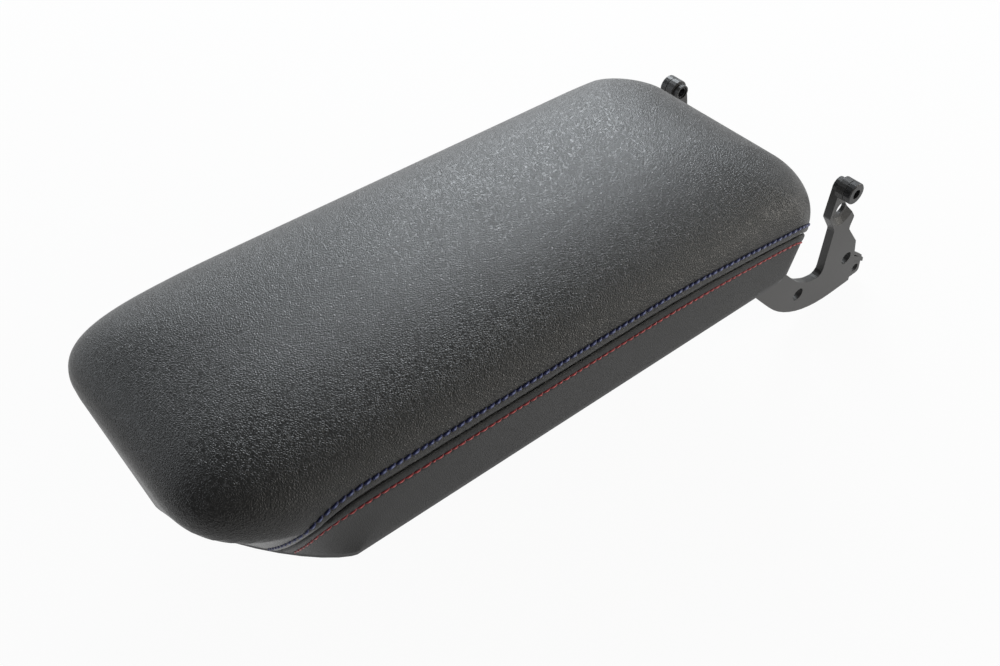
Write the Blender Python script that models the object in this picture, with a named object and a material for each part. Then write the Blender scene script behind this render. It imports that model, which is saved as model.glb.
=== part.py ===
"""Padded centre console armrest: a leather wrapped lid on two gooseneck hinge arms.

The leather is three sewn panels: a long top panel that also wraps the front and the rear, and a
panel on each long side, joined by a seam that sinks to the lower edge at both ends. Under it lie a
foam pad, a ribbed carrier and a screwed liner with bumpers and a sprung latch. X is across the lid,
-Y its front, +Y its hinge end, Z up. The hinge axis runs along X through the origin.
"""

import math

import bmesh
import bpy
import numpy as np
from mathutils import Matrix, Vector

MM = 0.001

# General clearances and thicknesses
GAP = 0.35 * MM
SKIN = 1.2 * MM
SEAM_GAP = 0.8 * MM
HEM = 9.0 * MM
SIDE_FOAM = 3.0 * MM
TOP_FOAM = 11.5 * MM
CARRIER_WALL = 2.6 * MM
SIDES_ROUND = 20
FEW_SIDES = 10

# Widest outline of the lid, where the wall turns into the crown
WIDE_HALF_WIDTH = 81.8 * MM
WIDE_FRONT = -190.5 * MM
WIDE_REAR = 181.6 * MM
WIDE_NOSE_X = 53.6 * MM
WIDE_NOSE_Y = 100.7 * MM
WIDE_NOSE_POWER = 3.25
WIDE_REAR_CORNER = 32.0 * MM
ROUND_POWER = 2.0
WIDE_REAR_POWER = 1.7
WIDE_HEIGHT = 33.0 * MM
FRONT_LIFT = 11.3 * MM
FRONT_LIFT_LENGTH = 64.7 * MM
REAR_DROP = 7.9 * MM
REAR_DROP_LENGTH = 61.0 * MM
CROWN_HEIGHT = 69.2 * MM
CROWN_POWER = 2.45

# Lower outline of the lid, at the edge that meets the console: in from the widest outline
SIDE_LEAN = 3.7 * MM
FRONT_LEAN = 6.6 * MM
REAR_LEAN = 19.3 * MM
LOW_HALF_WIDTH = WIDE_HALF_WIDTH - SIDE_LEAN
LOW_FRONT = WIDE_FRONT + FRONT_LEAN
LOW_REAR = WIDE_REAR - REAR_LEAN
LOW_NOSE_FLAT = 1.0 * MM
LOW_NOSE_X = LOW_HALF_WIDTH - LOW_NOSE_FLAT
LOW_NOSE_Y = 56.3 * MM
LOW_NOSE_POWER = 1.33
LOW_REAR_CORNER = 14.2 * MM

# Columns of the outline: straight and round stretches of one half
FRONT_STEPS = 2
NOSE_STEPS = 12
SIDE_STEPS = 5
REAR_CORNER_STEPS = 6
REAR_STEPS = 2

# Seam between the top panel and the side panels
SEAM_HEIGHT = 39.4 * MM
SEAM_START = NOSE_STEPS // 2
SEAM_FRONT_POWER = 2.2
SEAM_REAR_SAG = 7.0 * MM
SEAM_SAG_BEFORE_REAR = 12.3 * MM
SEAM_SAG_END = LOW_REAR - SEAM_SAG_BEFORE_REAR
SEAM_SAG_LENGTH = 105.0 * MM
SEAM_SAG_START = SEAM_SAG_END - SEAM_SAG_LENGTH
SEAM_SAG_POWER = 1.6
SEAM_REAR_POWER = 1.2

# Hinge arms: their foot lies inside the lid's rear, and the knuckle behind it
HINGE_BEHIND = 48.5 * MM
HINGE_Y = LOW_REAR + HINGE_BEHIND
HINGE_Z = 24.4 * MM
ARM_SET_IN = 18.1 * MM
ARM_INNER_X = LOW_HALF_WIDTH - ARM_SET_IN
ARM_THICK = 5.0 * MM
KNUCKLE_RADIUS = 6.5 * MM
KNUCKLE_LENGTH = 8.4 * MM
KNUCKLE_CHAMFER = 0.5 * MM
KNUCKLE_START = 3.4 * MM
NECK_RADIUS = 4.9 * MM
BUSH_LENGTH = 4.3 * MM
BUSH_SPIGOT_RADIUS = 3.6 * MM
BUSH_SPIGOT_LENGTH = 8.0 * MM
PIN_BORE_RADIUS = 2.9 * MM
FOOT_BEFORE_REAR = 12.8 * MM
FOOT_REAR = LOW_REAR - FOOT_BEFORE_REAR
FOOT_LENGTH = 85.5 * MM
FOOT_FRONT = FOOT_REAR - FOOT_LENGTH
FOOT_TOP = 16.0 * MM
FOOT_LOW = 4.0 * MM
FOOT_ROUND = 2.0 * MM
FOOT_SLOPE = 6.0 * MM
HEEL_LENGTH = 26.0 * MM
HEEL_ROUND = 6.0 * MM
FLANGE_WIDTH = 21.0 * MM
FLANGE_THICK = 3.0 * MM
FLANGE_SET_BACK = 3.5 * MM
FLANGE_REAR = FOOT_REAR - FLANGE_SET_BACK
THROAT_CLEARANCE = 0.8 * MM
THROAT_LEVEL = 9.0 * MM
THROAT_ROUNDS = (1.5 * MM, 8.0 * MM)

# Corners of the gooseneck, from the hinge axis: along Y, along Z, and the corner's radius
THROAT_CORNERS = (
    (-23.3 * MM, -58.2 * MM, 25.0 * MM),
    (-11.8 * MM, -63.8 * MM, 25.0 * MM),
    (0.0, -65.6 * MM, 5.0 * MM),
    (1.2 * MM, -31.6 * MM, 4.0 * MM),
    (-6.8 * MM, -19.6 * MM, 3.0 * MM),
)
BACK_CORNERS = (
    (5.6 * MM, -7.4 * MM, 1.5 * MM),
    (6.2 * MM, -11.4 * MM, 1.5 * MM),
    (9.8 * MM, -16.9 * MM, 2.0 * MM),
    (18.8 * MM, -29.4 * MM, 2.0 * MM),
    (16.8 * MM, -37.9 * MM, 4.0 * MM),
    (28.8 * MM, -53.3 * MM, 3.0 * MM),
    (32.0 * MM, -67.4 * MM, 1.0 * MM),
    (43.4 * MM, -74.3 * MM, 1.2 * MM),
    (44.8 * MM, -87.0 * MM, 2.5 * MM),
)
SWEEP_CORNER = (-22.3 * MM, -90.9 * MM, 80.0 * MM)
SWEEP_STEPS = 10

# Holes, pocket, tab and sunk ear of an arm, also from the hinge axis along Y and Z
POCKET_SPOT = (6.0 * MM, -19.2 * MM)
POCKET_RADIUS = 6.2 * MM
POCKET_FLARE = 4.4 * MM
POCKET_FLOOR = 2.4 * MM
POCKET_ROOF = 0.5 * MM
POCKET_HOLE_RADIUS = 3.9 * MM
MOUTH_FRONT = -4.6 * MM
ARM_HOLE_SPOTS = ((-20.7 * MM, -68.7 * MM), (23.0 * MM, -64.2 * MM))
ARM_HOLE_RADIUS = 4.3 * MM
EAR_HOLE_SPOT = (39.2 * MM, -81.6 * MM)
EAR_HOLE_RADIUS = 2.9 * MM
EAR_RELIEF = 1.4 * MM
EAR_CORNERS = (
    (33.2 * MM, -71.0 * MM),
    (51.2 * MM, -82.4 * MM),
    (51.2 * MM, -94.4 * MM),
    (33.2 * MM, -94.4 * MM),
)
TAB_ENDS = ((30.7 * MM, -63.0 * MM), (41.0 * MM, -71.1 * MM))
TAB_THICK = 2.2 * MM

# Screws that hold the arms: pan heads under the flange, shanks up into the carrier's posts
ARM_SCREW_INSET = 9.0 * MM
ARM_SCREW_X = ARM_INNER_X - ARM_SCREW_INSET
ARM_SCREWS_BEFORE = (73.5 * MM, 43.5 * MM, 13.5 * MM)
ARM_SCREWS_Y = tuple(FOOT_REAR - before for before in ARM_SCREWS_BEFORE)
ARM_SCREW_RADIUS = 2.0 * MM
ARM_SCREW_HEAD = 4.2 * MM
ARM_SCREW_HEAD_HEIGHT = 2.6 * MM
ARM_SCREW_REACH = 14.0 * MM
ARM_POST_RADIUS = 5.0 * MM

# Liner and its screws
LINER_THICK = 3.4 * MM
LINER_INSET = 1.2 * MM
LINER_DRAFT = 0.4 * MM
LINER_FIELD = 0.9 * MM
LINER_FIELD_BESIDE = 34.4 * MM
LINER_FIELD_X = LOW_HALF_WIDTH - LINER_FIELD_BESIDE
LINER_FIELD_BEHIND_FRONT = 79.9 * MM
LINER_FIELD_FRONT = LOW_FRONT + LINER_FIELD_BEHIND_FRONT
LINER_FIELD_BEFORE_REAR = 50.0 * MM
LINER_FIELD_REAR = LOW_REAR - LINER_FIELD_BEFORE_REAR
LINER_FIELD_CORNER = 12.0 * MM
LINER_SCREWS_BESIDE = (40.4 * MM, 16.4 * MM, 48.4 * MM)
LINER_SCREWS_BEHIND_FRONT = (37.9 * MM, 163.9 * MM)
LINER_SCREW_BEFORE_REAR = 15.0 * MM
LINER_SCREW_SPOTS = (
    (LOW_HALF_WIDTH - LINER_SCREWS_BESIDE[0], LOW_FRONT + LINER_SCREWS_BEHIND_FRONT[0]),
    (LOW_HALF_WIDTH - LINER_SCREWS_BESIDE[1], LOW_FRONT + LINER_SCREWS_BEHIND_FRONT[1]),
    (LOW_HALF_WIDTH - LINER_SCREWS_BESIDE[2], LOW_REAR - LINER_SCREW_BEFORE_REAR),
)
LINER_SCREW_RADIUS = 1.5 * MM
LINER_SCREW_HEAD = 3.5 * MM
LINER_SCREW_HEAD_HEIGHT = 1.1 * MM
LINER_SCREW_LENGTH = 14.0 * MM
LINER_POST_RADIUS = 4.0 * MM
ARM_SLOT_MARGIN = 1.0 * MM
ARM_SLOT_LENGTH = 25.5 * MM
ARM_SLOT_BEHIND = 2.0 * MM

# Rubber bumpers
BUMPERS_BESIDE = (20.4 * MM, 12.4 * MM)
BUMPER_BEHIND_FRONT = 71.9 * MM
BUMPER_BEFORE_REAR = 118.0 * MM
BUMPER_SPOTS = (
    (LOW_HALF_WIDTH - BUMPERS_BESIDE[0], LOW_FRONT + BUMPER_BEHIND_FRONT),
    (LOW_HALF_WIDTH - BUMPERS_BESIDE[1], LOW_REAR - BUMPER_BEFORE_REAR),
)
BUMPER_RADIUS = 5.0 * MM
BUMPER_HEIGHT = 2.8 * MM
BUMPER_STEM = 2.0 * MM
BUMPER_BARB = 3.0 * MM

# Carrier ribs
RIB_THICK = 2.0 * MM
RIB_LOW = 38.0 * MM
RIB_BESIDE = 50.4 * MM
RIB_X = LOW_HALF_WIDTH - RIB_BESIDE
RIB_BEHIND_FRONT = 33.9 * MM
RIB_FRONT = LOW_FRONT + RIB_BEHIND_FRONT
RIB_BEFORE_REAR = 20.0 * MM
RIB_REAR = LOW_REAR - RIB_BEFORE_REAR
RIBS_Y = (-120.0 * MM, -60.0 * MM, 0.0, 60.0 * MM, 120.0 * MM)

# Latch, under the front edge
LATCH_BEHIND_FRONT = 43.9 * MM
LATCH_Y = LOW_FRONT + LATCH_BEHIND_FRONT
LATCH_Z = 8.0 * MM
LATCH_PIN_RADIUS = 1.5 * MM
LATCH_PIN_HEAD = 2.6 * MM
LATCH_PIN_END = 1.0 * MM
LATCH_BARREL = 4.0 * MM
LATCH_HALF_WIDTH = 17.0 * MM
LATCH_SPRING_ROOM = 6.0 * MM
PADDLE_REACH = 25.5 * MM
PADDLE_FRONT = LATCH_Y - PADDLE_REACH
PADDLE_OVERLAP = 1.0 * MM
PADDLE_REAR = LATCH_Y + PADDLE_OVERLAP
PADDLE_THICK = 2.5 * MM
PADDLE_TOP = -2.7 * MM
WEB_THICK = 4.0 * MM
WEB_REACH = 12.0 * MM
WEB_FRONT = LATCH_Y - WEB_REACH
HOOK_HALF_WIDTH = 6.0 * MM
HOOK_THICK = 5.0 * MM
HOOK_DROP = 15.0 * MM
HOOK_TIP = 4.5 * MM
HOOK_TIP_HEIGHT = 3.5 * MM
WINDOW_REACH = 28.5 * MM
WINDOW_FRONT = LATCH_Y - WINDOW_REACH
WINDOW_BEHIND = 7.0 * MM
WINDOW_REAR = LATCH_Y + WINDOW_BEHIND
WINDOW_HALF_WIDTH = 18.5 * MM
PIN_EAR_THICK = 3.0 * MM
PIN_EAR_CLEARANCE = 1.0 * MM
PIN_EAR_X = WINDOW_HALF_WIDTH + PIN_EAR_CLEARANCE
PIN_EAR_LENGTH = 12.0 * MM
PIN_EAR_TOP = 13.5 * MM
SPRING_WIRE = 0.45 * MM
SPRING_RADIUS = 3.0 * MM
SPRING_TURNS = 4
SPRING_HALF_WIDTH = 3.6 * MM
SPRING_LEG = 12.0 * MM
SPRING_STOP_WIDTH = 12.0 * MM
SPRING_STOP_THICK = 6.0 * MM
SPRING_STOP_FACE = 8.8 * MM
SPRING_STOP_HEIGHT = 14.0 * MM
SPRING_STOP_MARGIN = 1.5 * MM

# Levels that follow from the sizes above
LINER_TOP = -GAP
LINER_LOW = LINER_TOP - LINER_THICK
FOAM_LOW = SKIN + GAP
HALF_COLUMNS = FRONT_STEPS + NOSE_STEPS + SIDE_STEPS + REAR_CORNER_STEPS + REAR_STEPS + 1
FULL_COLUMNS = 2 * (HALF_COLUMNS - 1)
SEAM_FIRST = FRONT_STEPS + SEAM_START
SEAM_LAST = HALF_COLUMNS - 1 - REAR_STEPS
DOME_STEPS = (0.02, 0.05, 0.1, 0.18, 0.3, 0.48, 0.7, 0.9)
COARSE_DOME_STEPS = (0.02, 0.07, 0.17, 0.35, 0.62, 0.9)
FOAM_FOOT = 1.5 * MM


def clear_scene():
    """Removes the objects that a new file opens with."""
    for obj in list(bpy.data.objects):
        bpy.data.objects.remove(obj, do_unlink=True)


def material(name, colour, roughness, metallic=0.0):
    """A Principled material in one colour."""
    mat = bpy.data.materials.get(name) or bpy.data.materials.new(name)
    mat.use_nodes = True
    shader = mat.node_tree.nodes["Principled BSDF"]
    shader.inputs["Base Color"].default_value = (*colour, 1.0)
    shader.inputs["Roughness"].default_value = roughness
    shader.inputs["Metallic"].default_value = metallic
    return mat


def place(obj):
    """Hangs an object on the lid's own frame, which lies below and in front of the hinge axis."""
    obj.parent = LID_FRAME
    return obj


def solid(name, bm, mat, smooth_angle=35.0):
    """Turns a bmesh into an object with outward faces and smooth round stretches."""
    bmesh.ops.recalc_face_normals(bm, faces=bm.faces)
    mesh = bpy.data.meshes.new(name)
    bm.to_mesh(mesh)
    bm.free()
    obj = bpy.data.objects.new(name, mesh)
    bpy.context.scene.collection.objects.link(obj)
    mesh.shade_smooth()
    mesh.set_sharp_from_angle(angle=math.radians(smooth_angle))
    if mat is not None:
        mesh.materials.append(mat)
    return place(obj)


def helper(obj):
    """Marks an object as a cutter or a tool that isn't part of the lid."""
    obj.hide_render = True
    obj.display_type = "WIRE"
    return obj


def combine(obj, tool, operation):
    """Adds an exact Boolean of obj with one helper object."""
    mod = obj.modifiers.new(operation.lower(), "BOOLEAN")
    mod.operation = operation
    mod.solver = "EXACT"
    mod.object = helper(tool)
    return obj


def combine_all(obj, tools, operation):
    """Adds one exact Boolean of obj with a collection of helper objects."""
    group = bpy.data.collections.new(obj.name + "_" + operation.lower())
    for tool in tools:
        group.objects.link(helper(tool))
    mod = obj.modifiers.new(operation.lower(), "BOOLEAN")
    mod.operation = operation
    mod.solver = "EXACT"
    mod.operand_type = "COLLECTION"
    mod.collection = group
    return obj


def box(name, low, high, mat=None):
    """An upright box between two corners."""
    bm = bmesh.new()
    size = Vector(high) - Vector(low)
    centre = (Vector(high) + Vector(low)) / 2
    bmesh.ops.create_cube(bm, size=1.0)
    bmesh.ops.scale(bm, vec=size, verts=bm.verts)
    bmesh.ops.translate(bm, vec=centre, verts=bm.verts)
    return solid(name, bm, mat)


def turned(name, profile, mat=None, centre=(0.0, 0.0, 0.0), axis="Z", sides=SIDES_ROUND):
    """A turned solid. The profile is (radius, height) from one end to the other along its axis."""
    bm = bmesh.new()
    rings = []
    for radius, height in profile:
        if radius == 0.0:
            rings.append([bm.verts.new((0.0, 0.0, height))])
            continue
        ring = []
        for k in range(sides):
            a = 2.0 * math.pi * k / sides
            ring.append(bm.verts.new((radius * math.cos(a), radius * math.sin(a), height)))
        rings.append(ring)
    for low, high in zip(rings, rings[1:]):
        for k in range(sides):
            n = (k + 1) % sides
            if len(low) == 1:
                bm.faces.new((low[0], high[n], high[k]))
            elif len(high) == 1:
                bm.faces.new((low[k], low[n], high[0]))
            else:
                bm.faces.new((low[k], low[n], high[n], high[k]))
    if len(rings[0]) > 1:
        bm.faces.new(rings[0])
    if len(rings[-1]) > 1:
        bm.faces.new(rings[-1])
    if axis == "X":
        bmesh.ops.rotate(bm, matrix=Matrix.Rotation(math.pi / 2, 3, "Y"), verts=bm.verts)
    bmesh.ops.translate(bm, vec=Vector(centre), verts=bm.verts)
    return solid(name, bm, mat)


def rod(name, radius, low, high, at, mat=None, axis="Z", sides=SIDES_ROUND):
    """A plain cylinder along Z through at=(x, y), or along X through at=(y, z)."""
    profile = ((radius, low), (radius, high))
    centre = (at[0], at[1], 0.0) if axis == "Z" else (0.0, at[0], at[1])
    return turned(name, profile, mat, centre, axis, sides)


def rounded(points, steps=5):
    """An outline whose corners, given as (a, b, radius), are rounded: a wide arc has more steps."""
    outline = []
    count = len(points)
    for k in range(count):
        here = Vector(points[k][:2])
        radius = points[k][2]
        before = (Vector(points[k - 1][:2]) - here).normalized()
        after = (Vector(points[(k + 1) % count][:2]) - here).normalized()
        if radius == 0.0:
            outline.append(here)
            continue
        half = before.angle(after) / 2
        centre = here + (before + after).normalized() * (radius / math.sin(half))
        start = here + before * (radius / math.tan(half)) - centre
        end = here + after * (radius / math.tan(half)) - centre
        sweep = start.angle_signed(end)
        count_here = SWEEP_STEPS if radius >= SWEEP_CORNER[2] else steps
        for j in range(count_here + 1):
            outline.append(centre + Matrix.Rotation(-sweep * j / count_here, 2) @ start)
    return outline


def prism(name, outline, low, high, axis="X", mat=None):
    """An outline pulled along X, where it is (y, z), or along Z, where it is (x, y)."""
    bm = bmesh.new()
    ends = []
    for level in (low, high):
        if axis == "X":
            ends.append([bm.verts.new((level, p[0], p[1])) for p in outline])
        else:
            ends.append([bm.verts.new((p[0], p[1], level)) for p in outline])
    count = len(outline)
    for k in range(count):
        n = (k + 1) % count
        bm.faces.new((ends[0][k], ends[0][n], ends[1][n], ends[1][k]))
    bm.faces.new(ends[0])
    bm.faces.new(ends[1])
    return solid(name, bm, mat)


def mirrored(obj, name):
    """The same piece on the other side of the lid, with its tools mirrored too."""
    twin = bpy.data.objects.new(name, obj.data.copy())
    bpy.context.scene.collection.objects.link(twin)
    twin.data.transform(Matrix.Scale(-1.0, 4, Vector((1.0, 0.0, 0.0))))
    twin.data.flip_normals()
    for mod in obj.modifiers:
        tool = mirrored(mod.object, name + "_" + mod.object.name)
        combine(twin, tool, mod.operation)
    return place(twin)


def quarter(reach_x, reach_y, power, steps):
    """Points of a rounded corner, from along X to along Y, as shares of its two reaches."""
    turns = [math.pi / 2 * k / steps for k in range(steps)]
    return [
        (reach_x * math.sin(t) ** (2 / power), reach_y * (1 - math.cos(t) ** (2 / power)))
        for t in turns
    ]


def half_outline(half_width, front, rear, nose, rear_corner):
    """One half of an outline in plan, from the front centre round +X to the rear centre.

    nose and rear_corner are (reach along X, reach along Y, power of the curve).
    """
    nose_x, nose_y, nose_power = nose
    corner_x, corner_y, corner_power = rear_corner
    flat = half_width - nose_x
    points = [(flat * k / FRONT_STEPS, front) for k in range(FRONT_STEPS)]
    for dx, dy in quarter(nose_x, nose_y, nose_power, NOSE_STEPS):
        points.append((flat + dx, front + dy))
    start, end = front + nose_y, rear - corner_y
    points += [(half_width, start + (end - start) * k / SIDE_STEPS) for k in range(SIDE_STEPS)]
    for dy, dx in quarter(corner_y, corner_x, corner_power, REAR_CORNER_STEPS):
        points.append((half_width - dx, end + dy))
    back = half_width - corner_x
    points += [(back * (1 - k / REAR_STEPS), rear) for k in range(REAR_STEPS + 1)]
    return np.array(points)


def low_outline(inset):
    """The lid's lower outline, moved in by an inset."""
    return half_outline(
        LOW_HALF_WIDTH - inset,
        LOW_FRONT + inset,
        LOW_REAR - inset,
        (LOW_NOSE_X - inset, LOW_NOSE_Y - inset, LOW_NOSE_POWER),
        (LOW_REAR_CORNER - inset, LOW_REAR_CORNER - inset, ROUND_POWER),
    )


def wide_outline(inset):
    """The lid's widest outline, moved in by an inset."""
    return half_outline(
        WIDE_HALF_WIDTH - inset,
        WIDE_FRONT + inset,
        WIDE_REAR - inset,
        (WIDE_NOSE_X - inset, WIDE_NOSE_Y - inset, WIDE_NOSE_POWER),
        (WIDE_REAR_CORNER - inset, WIDE_REAR_CORNER - inset, WIDE_REAR_POWER),
    )


class LidSurface:
    """The lid's outside, or a surface inside it that lies in by side_inset and top_inset."""

    def __init__(self, side_inset, top_inset):
        self.low = low_outline(side_inset)
        self.wide = wide_outline(side_inset)
        outside = wide_outline(0.0)[:, 1]
        front = np.clip((WIDE_FRONT + FRONT_LIFT_LENGTH - outside) / FRONT_LIFT_LENGTH, 0, 1)
        rear = np.clip((outside - WIDE_REAR + REAR_DROP_LENGTH) / REAR_DROP_LENGTH, 0, 1)
        self.level = WIDE_HEIGHT + FRONT_LIFT * front**2 - REAR_DROP * rear**2
        self.crown = CROWN_HEIGHT - top_inset
        spine = np.clip(self.wide[:, 1], WIDE_FRONT + WIDE_HALF_WIDTH, WIDE_REAR - WIDE_HALF_WIDTH)
        self.spine = np.column_stack([np.zeros(HALF_COLUMNS), spine])

    def share_at(self, column, height):
        """The share along a column, 0 at the edge, 1 at the widest and 2 at the crown's middle."""
        level = self.level[column]
        if height <= level:
            return height / level
        rise = (height - level) / (self.crown - level)
        return 2 - (1 - rise**CROWN_POWER) ** (1 / CROWN_POWER)

    def point(self, column, share):
        """The point on a column of the +X half at a share from share_at."""
        level = self.level[column]
        if share <= 1:
            plan = self.low[column] + (self.wide[column] - self.low[column]) * share
            return (plan[0], plan[1], level * share)
        inward = share - 1
        plan = self.wide[column] + (self.spine[column] - self.wide[column]) * inward
        rise = (1 - (1 - inward) ** CROWN_POWER) ** (1 / CROWN_POWER)
        return (plan[0], plan[1], level + (self.crown - level) * rise)

    def strip(self, column, low, top):
        """Three points up one column, the middle one at the widest line if that lies between."""
        level = self.level[column]
        middle = level if low < level < top else (low + top) / 2
        return [self.point(column, self.share_at(column, h)) for h in (low, middle, top)]

    def column(self, column, low, steps):
        """Points up one column to the crown: the wall first, then the steps of the dome."""
        top = self.point(column, 1 + steps[0])[2]
        return self.strip(column, low, top) + [self.point(column, 1 + s) for s in steps[1:]]


def full_loop(half):
    """The points of the +X half, then those of the -X half going back to the front."""
    return list(half) + [(-p[0], p[1], p[2]) for p in half[-2:0:-1]]


def surface_rows(surface, lows, steps):
    """Closed rows of points from the lower edge to the top of a lid surface."""
    columns = [surface.column(c, lows[c], steps) for c in range(HALF_COLUMNS)]
    rows = zip(*columns)
    return [full_loop(row) for row in rows]


def split_face(bm, a, b, c, d, on_left):
    """Two triangles for a twisted quad, so that nested surfaces are split the same way."""
    if on_left:
        bm.faces.new((a, b, d))
        bm.faces.new((b, c, d))
    else:
        bm.faces.new((a, b, c))
        bm.faces.new((a, c, d))


def skin_rows(bm, rows):
    """Makes vertices for rows of points, and joins the rows by faces."""
    verts = [[bm.verts.new(p) for p in row] for row in rows]
    for low, high in zip(verts, verts[1:]):
        for k in range(FULL_COLUMNS):
            n = (k + 1) % FULL_COLUMNS
            split_face(bm, low[k], low[n], high[n], high[k], k >= HALF_COLUMNS - 1)
    return verts


def close_top(bm, ring):
    """Closes the long narrow hole that the last row leaves along the lid's middle."""
    last = HALF_COLUMNS - 1
    for k in range(last):
        left = (FULL_COLUMNS - k) % FULL_COLUMNS
        left_next = FULL_COLUMNS - k - 1
        corners = []
        for v in (ring[k], ring[k + 1], ring[left_next], ring[left]):
            if v not in corners:
                corners.append(v)
        bm.faces.new(corners)


def dome(name, outer, inner, low, mat):
    """A domed shell between two lid surfaces, or a solid dome where there is no inner one."""
    bm = bmesh.new()
    lows = [low] * HALF_COLUMNS
    outside = skin_rows(bm, surface_rows(outer, lows, COARSE_DOME_STEPS))
    close_top(bm, outside[-1])
    if inner is None:
        bm.faces.new(outside[0])
    else:
        inside = skin_rows(bm, surface_rows(inner, lows, COARSE_DOME_STEPS))
        close_top(bm, inside[-1])
        join_loops(bm, outside[0], inside[0])
    return solid(name, bm, mat)


def join_loops(bm, first, second):
    """Joins two closed loops of vertices by faces."""
    count = len(first)
    for k in range(count):
        n = (k + 1) % count
        bm.faces.new((first[k], first[n], second[n], second[k]))


def seam_height(column):
    """Height of the seam at a column: level along the side, sunk to the edge at both ends."""
    nose_end = FRONT_STEPS + NOSE_STEPS
    corner_start = nose_end + SIDE_STEPS
    y = OUTSIDE.wide[column][1]
    sag = (y - SEAM_SAG_START) / (SEAM_SAG_END - SEAM_SAG_START)
    height = SEAM_HEIGHT - SEAM_REAR_SAG * min(max(sag, 0.0), 1.0) ** SEAM_SAG_POWER
    if column < nose_end:
        rise = (column - SEAM_FIRST) / (nose_end - SEAM_FIRST)
        return height * (1 - (1 - rise) ** SEAM_FRONT_POWER)
    if column > corner_start:
        fall = (column - corner_start) / REAR_CORNER_STEPS
        return height * (1 - fall) ** SEAM_REAR_POWER
    return height


def top_cover(mat):
    """The top panel: down to the seam on both sides, and round the edge with a hem elsewhere."""
    bm = bmesh.new()
    lows = [0.0] * HALF_COLUMNS
    inner_lows = [SKIN] * HALF_COLUMNS
    for c in range(SEAM_FIRST + 1, SEAM_LAST):
        lows[c] = seam_height(c) + SEAM_GAP / 2
        inner_lows[c] = lows[c]
    outer = skin_rows(bm, surface_rows(OUTSIDE, lows, DOME_STEPS))
    inner = skin_rows(bm, surface_rows(UNDER_SKIN, inner_lows, DOME_STEPS))
    close_top(bm, outer[-1])
    close_top(bm, inner[-1])
    hem = low_outline(HEM)
    hem_low = [bm.verts.new(p) for p in full_loop([(x, y, 0.0) for x, y in hem])]
    hem_top = [bm.verts.new(p) for p in full_loop([(x, y, SKIN) for x, y in hem])]
    sewn = set(range(SEAM_FIRST, SEAM_LAST))
    sewn |= {FULL_COLUMNS - 1 - c for c in sewn}
    for k in range(FULL_COLUMNS):
        n = (k + 1) % FULL_COLUMNS
        if k in sewn:
            bm.faces.new((outer[0][k], outer[0][n], inner[0][n], inner[0][k]))
            continue
        bm.faces.new((outer[0][k], outer[0][n], hem_low[n], hem_low[k]))
        bm.faces.new((hem_low[k], hem_low[n], hem_top[n], hem_top[k]))
        bm.faces.new((hem_top[k], hem_top[n], inner[0][n], inner[0][k]))
    for c in (SEAM_FIRST, SEAM_LAST, FULL_COLUMNS - SEAM_FIRST, FULL_COLUMNS - SEAM_LAST):
        bm.faces.new((outer[0][c], hem_low[c], hem_top[c], inner[0][c]))
    loose = [v for v in bm.verts if not v.link_faces]
    bmesh.ops.delete(bm, geom=loose, context="VERTS")
    return solid("top_cover", bm, mat)


def side_cover(mat):
    """The +X side panel: a strip from the hem under the edge up to the seam."""
    bm = bmesh.new()
    hem = low_outline(HEM)
    outer, inner = [], []
    for c in range(SEAM_FIRST + 1, SEAM_LAST):
        top = seam_height(c) - SEAM_GAP / 2
        outside = [(hem[c][0], hem[c][1], 0.0)] + OUTSIDE.strip(c, 0.0, top)
        inside = [(hem[c][0], hem[c][1], SKIN)] + UNDER_SKIN.strip(c, SKIN, top)
        outer.append([bm.verts.new(p) for p in outside])
        inner.append([bm.verts.new(p) for p in inside])
    spans = len(outer[0]) - 1
    for grid in (outer, inner):
        for a, b in zip(grid, grid[1:]):
            for k in range(spans):
                split_face(bm, a[k], b[k], b[k + 1], a[k + 1], False)
    for c in range(len(outer) - 1):
        for k in (0, spans):
            bm.faces.new((outer[c][k], outer[c + 1][k], inner[c + 1][k], inner[c][k]))
    for c in (0, len(outer) - 1):
        for k in range(spans):
            bm.faces.new((outer[c][k], outer[c][k + 1], inner[c][k + 1], inner[c][k]))
    return solid("side_cover_right", bm, mat)


def foam_pad(mat):
    """The moulded foam between the leather and the carrier, with rows that follow the seam."""
    bm = bmesh.new()
    columns = []
    for c in range(HALF_COLUMNS):
        meet = FOAM_LOW + FOAM_FOOT
        if SEAM_FIRST < c < SEAM_LAST:
            meet = max(seam_height(c), meet)
        foot = FOAM_OUT.strip(c, FOAM_LOW, meet)
        columns.append(foot[:-1] + FOAM_OUT.column(c, meet, DOME_STEPS))
    outside = skin_rows(bm, [full_loop(row) for row in zip(*columns)])
    inside = skin_rows(bm, surface_rows(FOAM_IN, [FOAM_LOW] * HALF_COLUMNS, COARSE_DOME_STEPS))
    close_top(bm, outside[-1])
    close_top(bm, inside[-1])
    join_loops(bm, outside[0], inside[0])
    return solid("foam_pad", bm, mat)


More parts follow.
